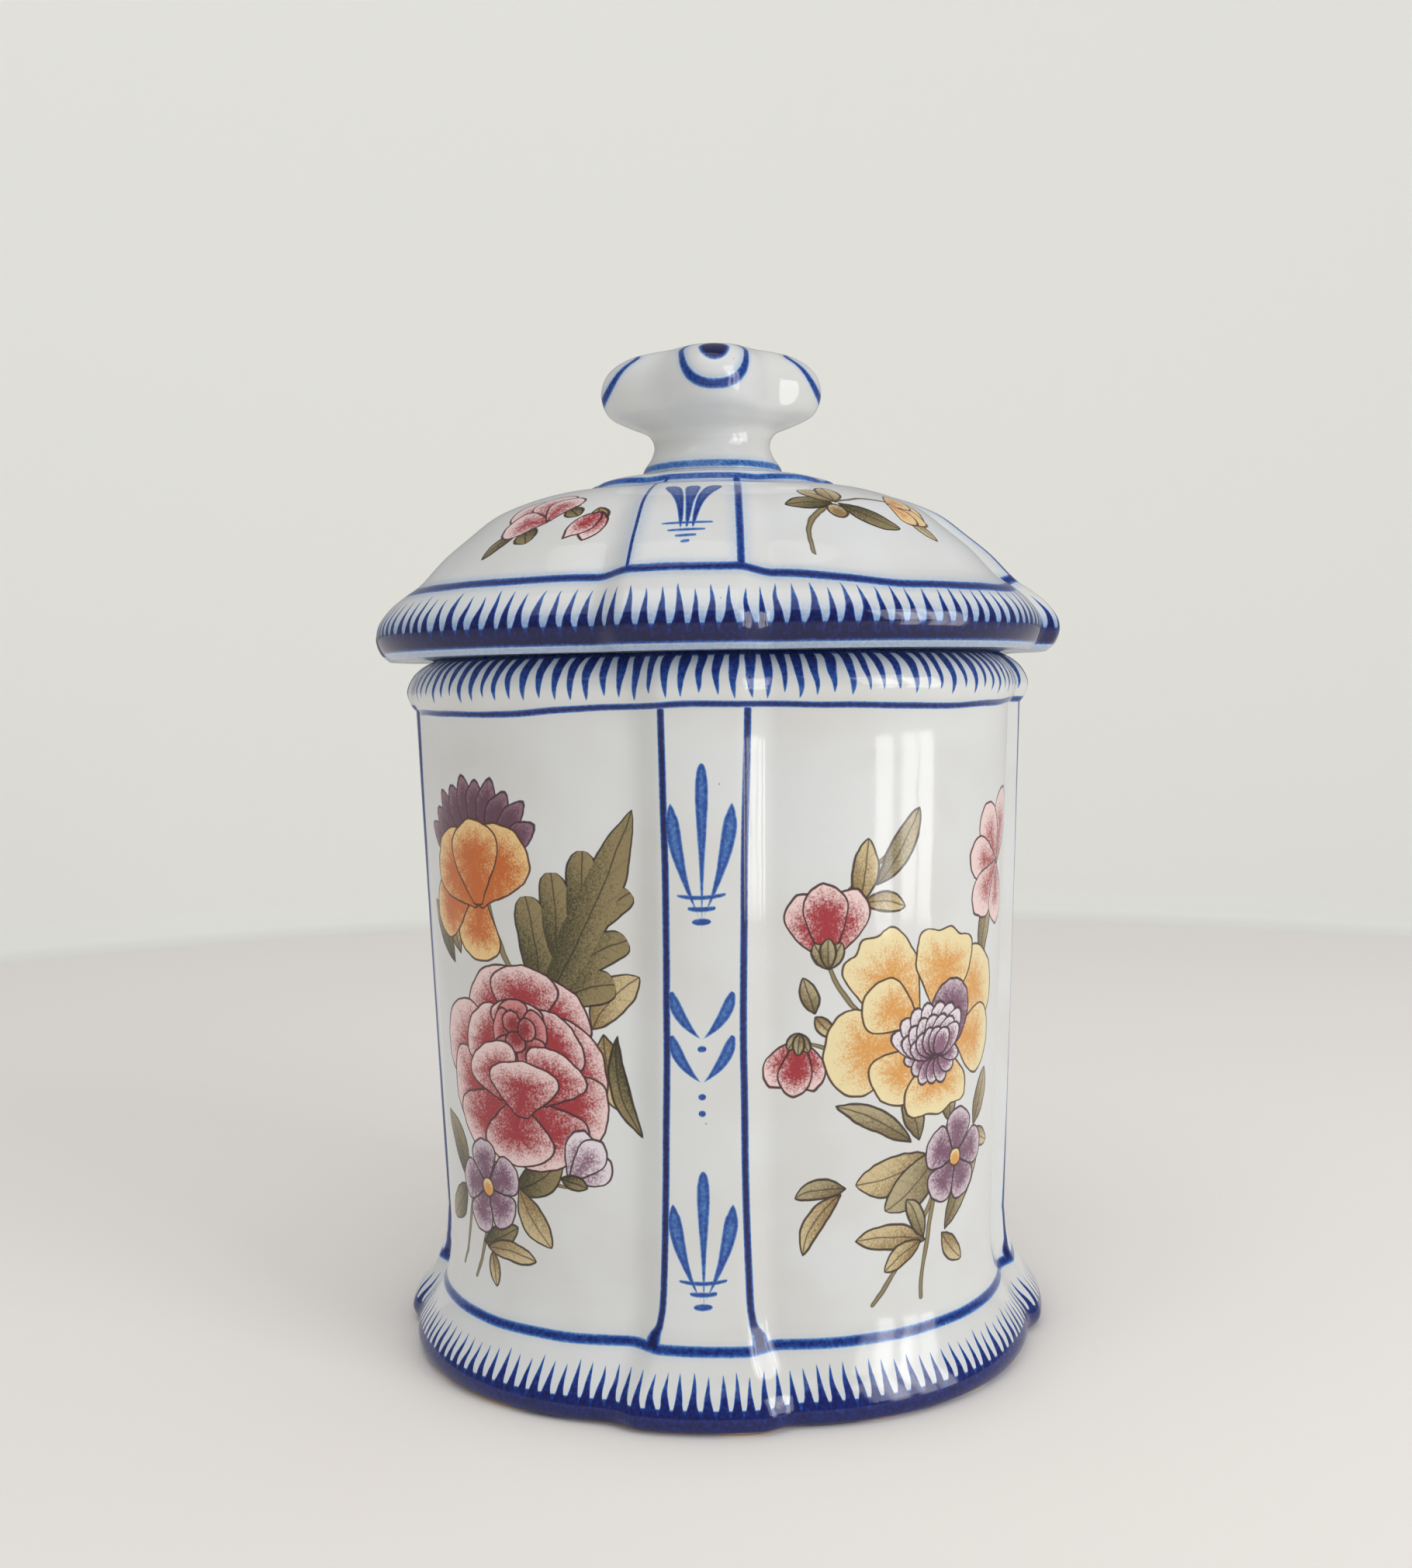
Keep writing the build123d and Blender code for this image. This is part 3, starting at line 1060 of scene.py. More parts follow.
class Sketch:
    """Flower painting on one surface: petals, leaves and stems laid one over another.

    The line sag is how far the line below a painting on the lid drops in the middle of its panel.
    """

    line_sag = 0.0
    wobble = 1.1
    wobble_sizes = (7.0, 5.0)
    grain_size = 0.36
    grain_depth = 1.3
    petal_length_step = 0.05
    petal_width_step = 0.04
    leaf_outline = 0.16

    def __init__(self, surface: Surface, across: Tone, along: Tone) -> None:
        """Sets up flat drawing coordinates, with the wobble of a hand, and the grain of the colour.

        Args:
            surface: The material under work.
            across, along: The flat coordinates in millimetres.
        """
        self.surface = surface
        shifts = [surface.sway(size, self.wobble, 2.0) for size in self.wobble_sizes]
        self.plane = surface.plane(across + shifts[0], along + shifts[1])
        self.grain = surface.sway(self.grain_size, self.grain_depth)

    def _press(self, stamp: Stamp, paint: Paint, **values: object) -> None:
        """Presses a stamp in a colour over what is painted so far, with its other inputs by name."""
        self.surface.colour = self.surface.press(
            stamp, Under=self.surface.colour, Plane=self.plane, Pale=paint.pale, Line=paint.line, **values)

    def petal(self, base: Place, angle: float, length: float, half: float, paint: Paint,
              form: Form = Form.FAN, ripples: int = 1, light: float = 0.0) -> None:
        """Paints a petal.

        Args:
            base: Where it starts.
            angle: Which way it grows, anticlockwise from upwards.
            length, half: Length and half width.
            paint: Its colour.
            form: Its outline.
            ripples: Number of scallops on each half of its tip.
            light: How much of it is pale, above or below the usual.
        """
        turn = math.radians(angle)
        unit = (half + length / 2) / (2 * HALF_SIZE)
        turned = axes(turn, half / HALF_SIZE, length / (2 * HALF_SIZE))
        self._press(Stamp.petal(form, ripples), paint, Deep=paint.deep, Grain=self.grain, Unit=unit,
                    Light=light, At=ahead(base, turn, length / 2), **turned)

    def fan(self, base: Place, rows: Points, paint: Paint, light: float) -> None:
        """Paints petals that open from one base, from the angle, length and half width of each."""
        for angle, length, half in rows:
            self.petal(base, angle, length, half, paint, light=light)

    def ring(self, centre: Place, angles: Sequence[float], start: float, length: float, half: float,
             paint: Paint, form: Form = Form.FAN, ripples: int = 1, light: float = 0.0) -> None:
        """Paints petals that stand round a centre, by turns a little longer and a little wider.

        Args:
            centre: The centre.
            angles: Which way each petal grows.
            start: Distance of the petals' bases from the centre.
            length, half: Length and half width of a petal.
            paint: Their colour.
            form: Their outline.
            ripples: Number of scallops on each half of a tip.
            light: How much of them is pale.
        """
        for count, angle in enumerate(angles):
            side = (-1) ** count
            base = ahead(centre, math.radians(angle), start)
            self.petal(base, angle, length * (1 + self.petal_length_step * side),
                       half * (1 - self.petal_width_step * side), paint, form, ripples, light)

    def leaf(self, foot: Place, tip: Place, half: float, paint: Paint, bend: float = 0.0, edge: float = 1.0,
             shape: Stroke = Stroke.LEAF) -> None:
        """Paints a leaf.

        Args:
            foot, tip: Its ends.
            half: Half of its width.
            paint: Its colour.
            bend: How far its middle bows to the right of the way from foot to tip.
            edge: Strength of its drawn outline.
            shape: How its width runs.
        """
        self._press(Stamp.leaf(shape), paint, Deep=paint.deep, Grain=self.grain, Edge=edge,
                    **bowed(foot, tip, half, bend))

    def leaves(self, *rows: tuple[Place, Place, float, Paint, float]) -> None:
        """Paints leaves from their foot, tip, half width, colour and bend."""
        for row in rows:
            self.leaf(*row)

    def lobed_leaf(self, lobes: Sequence[tuple[Place, Place, float, float]], paint: Paint) -> None:
        """Paints a leaf of several lobes with one outline round them all.

        Args:
            lobes: Foot, tip, half width and bend of each lobe, the pointed one last.
            paint: Its colour.
        """
        shapes = [Stroke.LOBE] * (len(lobes) - 1) + [Stroke.LEAF]
        for wider, edge in ((self.leaf_outline, 1.0), (0.0, 0.0)):
            for (foot, tip, half, bend), shape in zip(lobes, shapes):
                self.leaf(foot, tip, half + wider, paint, bend, edge, shape)

    def stems(self, *rows: tuple[Place, Place, float, float]) -> None:
        """Paints stems from their foot, tip, half width and bend."""
        for foot, tip, half, bend in rows:
            self._press(Stamp.stem(), STALK, **bowed(foot, tip, half, bend))

    def disc(self, centre: Place, size: float, paint: Paint) -> None:
        """Paints a small round centre of a flower."""
        self.petal((centre[0], centre[1] - size), 0.0, size * 2, size, paint, Form.ROUND, 0)

    def violet(self, centre: Place, size: float, turn: float = 0.0) -> None:
        """Paints a violet of five petals round a yellow centre."""
        self.ring(centre, [turn + 72 * i for i in range(5)], size * 0.12, size * 0.92, size * 0.47, VIOLET)
        self.disc(centre, size * 0.2, GOLD)

    def paint(self) -> None:
        """Paints the sketch, from what lies behind to what lies in front."""
        raise NotImplementedError


class RoseSpray(Sketch):
    """Spray of a full rose under an amber flower, with violets below."""

    rose_at = (10.5, 63)
    rose_depth = 0.12
    rose_back = (
        (0, 5, 34, 14, 8, 0.1), (4, 4, -44, 13.5, 8, 0), (2, 6, -4, 12.5, 8, 0.05),
        (-4, -5, 52, 20, 8.6, 0.15), (-3, -4, 106, 16, 9, 0.1),
        (5, -3, -66, 14.5, 9, -0.1), (4, -5, -114, 16, 8.6, 0),
        (-4, -6, 148, 14, 9, 0.1), (4, -7, -152, 13, 8.6, 0.05),
        (0, -7, 180, 12.5, 9, 0.1), (-2, 0, 50, 12, 7, 0.1),
        (4, 0, -50, 11.5, 7, -0.05), (1, 3, 2, 9, 6.6, 0))
    rose_front = (
        (-3, -7, 24, 11, 7.2, 0.2), (6, -7, -26, 10.5, 7, 0.05),
        (1.5, -10, -2, 10.5, 8.6, 0.15))

    def paint(self) -> None:
        """Paints the spray."""
        self.stems(((-3, 19.5), (4, 46), 0.6, 1.4), ((-8.5, 20.5), (-1, 48), 0.55, 1),
                   ((15, 76), (6, 92), 0.7, -1.6), ((10, 46), (22, 41), 0.4, 1.6))
        self.leaves(
            ((27, 70.5), (36, 80), 3.2, OCHRE, -1), ((29, 69.5), (33, 55), 2.7, OCHRE, 1),
            ((31.5, 69), (36, 51), 1.6, OLIVE, 2), ((10, 39), (20.5, 46), 3, OLIVE, 0.8),
            ((10.5, 39.5), (17.5, 29), 2.6, OCHRE, 0.6), ((0, 27), (10, 32), 2.2, OLIVE, 0.4),
            ((1, 26.5), (14, 26), 1.9, OCHRE, -0.6), ((-5, 38), (-13.5, 50), 2.8, OLIVE, 1.2),
            ((-6, 37), (-14.5, 29), 2.6, OLIVE, -0.8), ((-6, 80), (-15, 91), 2.4, OLIVE, 0.6),
            ((-3.5, 82), (-7.5, 95), 2, OCHRE, -0.6), ((2.5, 26), (4, 19.5), 1.4, OCHRE, 0.3))
        self._great_leaf()
        self._amber_flower()
        self._rose()
        self.ring((22, 42), (-18, -62, -40), 0, 9.5, 3.2, LILAC, light=0.2)
        self.leaf((20, 42.5), (25.5, 41), 1.3, OLIVE)
        self.violet((2, 38), 8.6, 12)

    def _great_leaf(self) -> None:
        """Paints a large leaf of several lobes."""
        self.lobed_leaf((
            ((17, 76), (14.5, 94), 3.2, 0.6), ((20.5, 82), (20, 98.5), 2.9, 0.5),
            ((24, 88), (26, 102.5), 2.6, 0.5), ((19.5, 75), (31.5, 78.5), 3.1, -0.8),
            ((22.5, 80), (34, 86.5), 2.8, -0.8), ((26, 87.5), (34.5, 95), 2.4, -0.7),
            ((16, 71.5), (35, 109.5), 3.6, 1.2)), OLIVE)

    def _amber_flower(self) -> None:
        """Paints an amber flower seen from the side, with a violet fringe above."""
        self.ring((2.5, 98), (64, 50, 36, 23, 10, -3, -16, -29, -43, -58), 8.5, 9, 2.4, PLUM, Form.ROUND,
                  light=-0.1)
        self.petal((4, 93.5), 168, 12.5, 6.4, AMBER, light=0.05)
        self.petal((1, 94), 112, 15, 6, AMBER, light=-0.1)
        self.fan((3, 92), ((46, 17, 7.6), (-34, 17, 7.6), (6, 16, 7)), AMBER, -0.1)

    def _rose(self) -> None:
        """Paints a full rose whose heart sits above its middle."""
        x, y = self.rose_at
        self._rose_petals(self.rose_back)
        self.ring((x + 1.2, y + 5.4), (15, 80, 290, 150, 220), 0.4, 6, 4, CRIMSON, light=0.15)
        self.ring((x + 1.2, y + 5.9), (40, 165, 285), 0.1, 4, 2.3, CRIMSON, Form.ROUND, 0, 0.05)
        self._rose_petals(self.rose_front)

    def _rose_petals(self, rows: Points) -> None:
        """Paints petals of the rose.

        Args:
            rows: Lean and rise from its middle, angle, length, half width and lightness of each.
        """
        for lean, rise, angle, length, half, light in rows:
            base = (self.rose_at[0] + lean, self.rose_at[1] + rise)
            self.petal(base, angle, length, half, ROSE, light=light - self.rose_depth)


class PeonySpray(Sketch):
    """Spray of a golden peony with a violet heart, pink buds above and violets below."""

    peony_at = (-3.5, 68)
    peony_petals = (
        (5, 2, -58, 16, 8, 1), (-4, 2.5, 36, 19, 7.6, 2), (1.5, 3.5, -10, 15.5, 8.6, 2),
        (6, -1.5, -104, 13, 7, 1), (-4.5, -1, 98, 18, 8.4, 1), (-4, -3, 140, 11, 6, 1),
        (1, -3.5, 186, 12.5, 8.8, 2), (-4, 2, 62, 12, 5.4, 1))
    peony_light = 0.14
    heart_rows = ((7, 10, 2.3, 17, 0.1), (7, 7.6, 2.1, 19, 0), (5, 5.2, 1.9, 23, -0.1))
    heart_first = 62

    def paint(self) -> None:
        """Paints the spray."""
        self.stems(((-16, 18.5), (4, 50), 0.6, 1.8), ((-5, 18), (1.5, 50), 0.6, -0.8),
                   ((-14, 69), (-25, 82), 0.5, -1.6), ((-14, 70.5), (-29, 68), 0.45, -2.6),
                   ((-23, 93), (-12, 102), 0.4, -0.8))
        self.leaves(
            ((-20, 92), (-18, 104), 2.3, OCHRE, 0.5), ((-16.5, 95.5), (-8, 109), 2.1, SAGE, 0.8),
            ((-19, 92.5), (-10.5, 91.5), 1.7, OCHRE, -0.5), ((-27, 73), (-29.5, 79.5), 1.6, SAGE, 0),
            ((-27, 72.5), (-24, 68.5), 1.3, OCHRE, 0), ((11, 78), (15.5, 96), 2.3, SAGE, -0.8),
            ((-8, 48), (-23, 56), 2, SAGE, 1), ((-6, 48), (-9.5, 57.5), 2.2, SAGE, 0.4),
            ((-4, 45), (-19, 41.5), 3.6, OCHRE, -1.2), ((-1, 45), (-13, 36), 3.7, SAGE, -0.8),
            ((2, 50), (1, 57), 1.8, SAGE, 0), ((10, 48), (14.5, 58), 2.2, SAGE, 0.5),
            ((9, 47), (17, 43.5), 1.7, OCHRE, 0.3), ((-21, 41), (-30.5, 39.5), 1.8, SAGE, 0.8),
            ((-22, 40), (-29, 29), 1.8, OCHRE, 1.4), ((-4, 29), (-19, 31), 2.3, OCHRE, 0.8),
            ((-4.5, 29.5), (-8.5, 37.5), 1.7, SAGE, 0.4), ((-5, 29), (-13, 24.5), 1.9, OCHRE, 0.5),
            ((1.5, 30), (12, 41), 2.5, SAGE, -1.2), ((0.5, 29.5), (7, 23), 2, OCHRE, 0.5))
        self._bud((-25, 82.5), 2, 14)
        self._bud((-30, 68.5), 172, 10.5)
        self._half_flower()
        self._peony()
        self.violet((4, 43), 8.6, -8)

    def _bud(self, base: Place, turn: float, size: float) -> None:
        """Paints an opening bud on its calyx.

        Args:
            base: Where the bud starts.
            turn: Which way it grows.
            size: Its length.
        """
        for lean, share, light in ((24, 0.94, 0), (-24, 0.96, 0.05), (2, 1, -0.15)):
            self.petal(base, turn + lean, size * share, size * 0.31, ROSE, light=light)
        foot = ahead(base, math.radians(turn), -size * 0.1)
        for lean in (40, -40, 0):
            self.leaf(foot, ahead(base, math.radians(turn + lean), size * 0.28), size * 0.1, SAGE)

    def _half_flower(self) -> None:
        """Paints a pink flower that is seen from its side."""
        self.fan((17.5, 97), ((-20, 15, 5), (30, 13, 4.6), (80, 12, 4.4), (132, 13, 4.6), (185, 12, 4.2)),
                 ROSE, 0.3)

    def _peony(self) -> None:
        """Paints an open golden flower with a full violet heart."""
        x, y = self.peony_at
        for lean, rise, angle, length, half, ripples in self.peony_petals:
            self.petal((x + lean, y + rise), angle, length, half, GOLD, Form.FAN, ripples, self.peony_light)
        self.ring((x + 0.5, y - 3.5), (104, 130, 154, 178, 202, 228, 254), 1.6, 5.2, 1.6, LILAC,
                  Form.ROUND, 0, -0.05)
        self.petal((x + 3, y - 4), -14, 13.5, 5.4, VIOLET, Form.ROUND, 0, -0.3)
        for count, length, half, spread, light in self.heart_rows:
            for step in range(count):
                turn = self.heart_first - step * spread
                base = (x + 0.6 - turn * 0.012, y - 4.6)
                self.petal(base, turn, length, half, LILAC, Form.ROUND, 0, light)


class PinkSprig(Sketch):
    """Small sprig of pink flowers on the lid."""

    line_sag = 0.4

    def paint(self) -> None:
        """Paints the sprig."""
        self.stems(((9, 7), (15, 15.5), 0.35, 0.6))
        self.leaves(
            ((8.5, 7), (5.5, 1.5), 1.5, OLIVE, 0.3), ((9.5, 8), (13, 5), 1.8, OLIVE, 0),
            ((14, 14.5), (17.5, 12.5), 1.3, OLIVE, 0.2), ((19, 15.5), (22.5, 12.5), 1.3, OCHRE, 0.2))
        self.fan((12.5, 10.5), ((70, 12, 4.2), (40, 11, 4), (105, 9, 3.6), (10, 8, 3.2)),
                 ROSE, 0.2)
        for angle in (200, 172):
            self.petal((20.5, 14.5), angle, 7.5, 2.2, ROSE, Form.POINT, 0, 0.1)


class OliveSprig(Sketch):
    """Small sprig of olive leaves and pale amber bells on the lid."""

    line_sag = 2.2

    def paint(self) -> None:
        """Paints the sprig."""
        self.stems(((-23, 3.2), (-11.5, 13), 0.5, -2.2), ((-11, 13.2), (2, 13), 0.35, -1))
        self.leaves(
            ((-11.5, 13.2), (-19.5, 14.8), 1.8, OLIVE, 0.5), ((-11, 13.4), (-13.5, 20), 2, OCHRE, 0.3),
            ((-10.6, 13.4), (-8, 20.5), 1.9, OCHRE, -0.2), ((-10.5, 12.8), (-2.8, 5.6), 2.2, OLIVE, 0.6),
            ((2.5, 9.5), (4.5, 3.4), 1.5, OCHRE, 0.3))
        self.fan((1, 12.5), ((-100, 8, 3), (-130, 7.5, 2.8), (-70, 7, 2.8), (-160, 6, 2.4)),
                 AMBER, 0.45)
        self.disc((-12.2, 11.2), 1.7, OCHRE)


@dataclass(frozen=True)
class Lamp:
    """An oblong lamp that faces the box's middle; one that only glints shows as a reflection alone."""

    name: str
    place: tuple[float, float, float]
    size: Place
    power: float
    glints: bool = False
    aim: float = 100.0

    def build(self) -> None:
        """Puts the lamp into the scene."""
        lamp = bpy.data.lights.new(self.name, "AREA")
        lamp.shape = "RECTANGLE"
        lamp.size, lamp.size_y = (side * MM for side in self.size)
        lamp.energy = self.power
        obj = bpy.data.objects.new(self.name, lamp)
        obj.location = [value * MM for value in self.place]
        way = Vector((0, 0, self.aim * MM)) - obj.location
        obj.rotation_euler = way.to_track_quat("-Z", "Y").to_euler()
        obj.visible_diffuse = not self.glints
        bpy.context.scene.collection.objects.link(obj)


@dataclass
class Light:
    """Soft, even studio light, with tall window panes to the right that the glaze mirrors.

    The room is the strength of the light from all round, and mirrored is its strength in reflections.
    """

    room: float = 0.57
    mirrored: float = 0.3
    lamps: Sequence[Lamp] = (Lamp("daylight", (800.0, -620.0, 500.0), (500.0, 700.0), 3.4),
                             Lamp("ceiling", (-100.0, -400.0, 1200.0), (1000.0, 1000.0), 2.7))
    panes: Sequence[float] = (-40.0, -27.0, -17.5)
    pane_distance: float = 430.0
    pane_height: float = 170.0
    pane_size: Place = (65.0, 330.0)
    pane_power: float = 0.3

    def build(self) -> None:
        """Makes the world and the lamps."""
        world = bpy.data.worlds.new("room")
        bpy.context.scene.world = world
        world.use_nodes = True
        tree = world.node_tree
        tree.nodes.clear()
        path = tree.nodes.new("ShaderNodeLightPath")
        lit = tree.nodes.new("ShaderNodeBackground")
        lit.inputs["Color"].default_value = (1.0, 1.0, 1.0, 1.0)
        dim = tree.nodes.new("ShaderNodeMath")
        dim.operation = "MULTIPLY_ADD"
        dim.inputs[1].default_value = self.mirrored - self.room
        dim.inputs[2].default_value = self.room
        tree.links.new(path.outputs["Is Glossy Ray"], dim.inputs[0])
        tree.links.new(dim.outputs[0], lit.inputs["Strength"])
        out = tree.nodes.new("ShaderNodeOutputWorld")
        tree.links.new(lit.outputs[0], out.inputs[0])
        for lamp in self.lamps:
            lamp.build()
        for number, azimuth in enumerate(self.panes):
            turn = math.radians(azimuth)
            x, y = self.pane_distance * math.cos(turn), self.pane_distance * math.sin(turn)
            pane = Lamp("pane_%d" % number, (x, y, self.pane_height), self.pane_size, self.pane_power, True)
            pane.build()


@dataclass
class Studio:
    """Pale floor and wall, and the camera as the photograph was taken.

    The cove rows are steps inwards from the wall and upwards from the floor.
    """

    eye_distance: float = 350.3
    eye_side: float = -2.46
    eye_height: float = 130.2
    yaw: float = 3.4
    pitch: float = -3.14
    roll: float = -0.97
    focal: float = 38.3
    sensor: float = 36.0
    nearest: float = 10.0
    floor_half: float = 6000.0
    floor_colour: Colour = srgb(251, 247, 241)
    wall_radius: float = 620.0
    wall_height: float = 1800.0
    wall_sides: int = 96
    wall_colour: Colour = srgb(244, 245, 240)
    cove: Points = ((20, 0.3), (6, 2), (1.5, 7), (0, 16))
    roughness: float = 0.7
    sheen: float = 0.1

    def build(self) -> None:
        """Makes the floor, the wall and the camera."""
        half = self.floor_half * MM
        corners = [(-half, -half, 0), (half, -half, 0), (half, half, 0), (-half, half, 0)]
        floor = mesh_object("floor", corners, [(0, 1, 2, 3)], smooth=False)
        floor.data.materials.append(self._finish("pale_floor", self.floor_colour))
        wall = self._wall()
        wall.data.materials.append(self._finish("pale_wall", self.wall_colour))
        self._camera()

    def _camera(self) -> None:
        """Makes the camera."""
        cam = bpy.data.cameras.new("camera")
        cam.sensor_width = self.sensor
        cam.lens = self.focal
        cam.clip_start = self.nearest * MM
        obj = bpy.data.objects.new("camera", cam)
        turn = Matrix.Rotation(math.radians(self.yaw), 4, "Z")
        stand = Matrix.Translation(Vector((self.eye_side, -self.eye_distance, self.eye_height)) * MM)
        tilt = Matrix.Rotation(math.radians(90 + self.pitch), 4, "X")
        roll = Matrix.Rotation(math.radians(self.roll), 4, "Z")
        obj.matrix_world = turn @ stand @ tilt @ roll
        bpy.context.scene.collection.objects.link(obj)
        bpy.context.scene.camera = obj

    def _wall(self) -> bpy.types.Object:
        """Makes a round wall about the box, which shows in the picture but holds back no light.

        Returns:
            The wall.
        """
        count = self.wall_sides
        turns = np.linspace(0, 2 * math.pi, count + 1)[:-1]
        rows = [(self.wall_radius - inwards, up) for inwards, up in self.cove]
        rows.append((self.wall_radius, self.wall_height))
        verts = [(r * math.cos(t) * MM, r * math.sin(t) * MM, z * MM) for r, z in rows for t in turns]
        faces = []
        for low in range(0, (len(rows) - 1) * count, count):
            for j in range(count):
                right = (j + 1) % count
                faces.append((low + j, low + right, low + count + right, low + count + j))
        wall = mesh_object("wall", verts, faces, smooth=True)
        wall.visible_diffuse = wall.visible_glossy = wall.visible_shadow = False
        return wall

    def _finish(self, name: str, colour: Colour) -> bpy.types.Material:
        """Makes a pale matt paint.

        Args:
            name: Name of the material.
            colour: Its colour.

        Returns:
            The material.
        """
        material = bpy.data.materials.new(name)
        material.use_nodes = True
        shader = material.node_tree.nodes["Principled BSDF"]
        shader.inputs["Base Color"].default_value = (*colour, 1.0)
        shader.inputs["Roughness"].default_value = self.roughness
        shader.inputs["Specular IOR Level"].default_value = self.sheen
        return material


@dataclass
class Casting:
    """What box and lid share: the lobed plan, its softer form in hollows, and painting by quarters.

    The lid sits at the rim's height, and its flange hangs down to the flange's bottom.
    """

    glaze: Glaze = Glaze()
    plan: LobedPlan = LobedPlan()
    rim_height: float = 137.5
    flange_bottom: float = 129.5
    inside_half: float = 7.3
    inside_relief: float = 0.55

    def hollow_level(self, nose: float, height: float) -> Level:
        """Level of a hollow, where the plan is softer."""
        return nose, height, self.inside_half, self.inside_relief

    def hollow_levels(self, places: Iterable[Place]) -> list[Level]:
        """Levels of a hollow from nose radii and heights."""
        return [self.hollow_level(nose, height) for nose, height in places]

    def lay_rings(self, skin: Skin, part: str, levels: Iterable[Level]) -> None:
        """Adds a stretch of rings to a skin, one for each level of the plan."""
        rows = np.array(list(levels))
        skin.add(part, self.plan.radius(skin.angles, rows), rows[:, 1])

    def surface(self, name: str) -> Surface:
        """Starts a material that follows the plan's turn and twist."""
        return Surface(name, self.glaze, self.plan.turn, self.plan.twist)

    @staticmethod
    def quarter_material(angle: float, split: float) -> int:
        """Material of a face outside: 1 on a pilaster, and 2 or 3 on the panels by turns.

        Args:
            angle: The face's angle in radians.
            split: Half of a pilaster's angle.

        Returns:
            The material's index.
        """
        local = (angle + QUARTER / 2) % QUARTER - QUARTER / 2
        if abs(local) < math.radians(split):
            return 1
        return 2 + int(math.floor((angle + math.pi) / QUARTER)) % 2


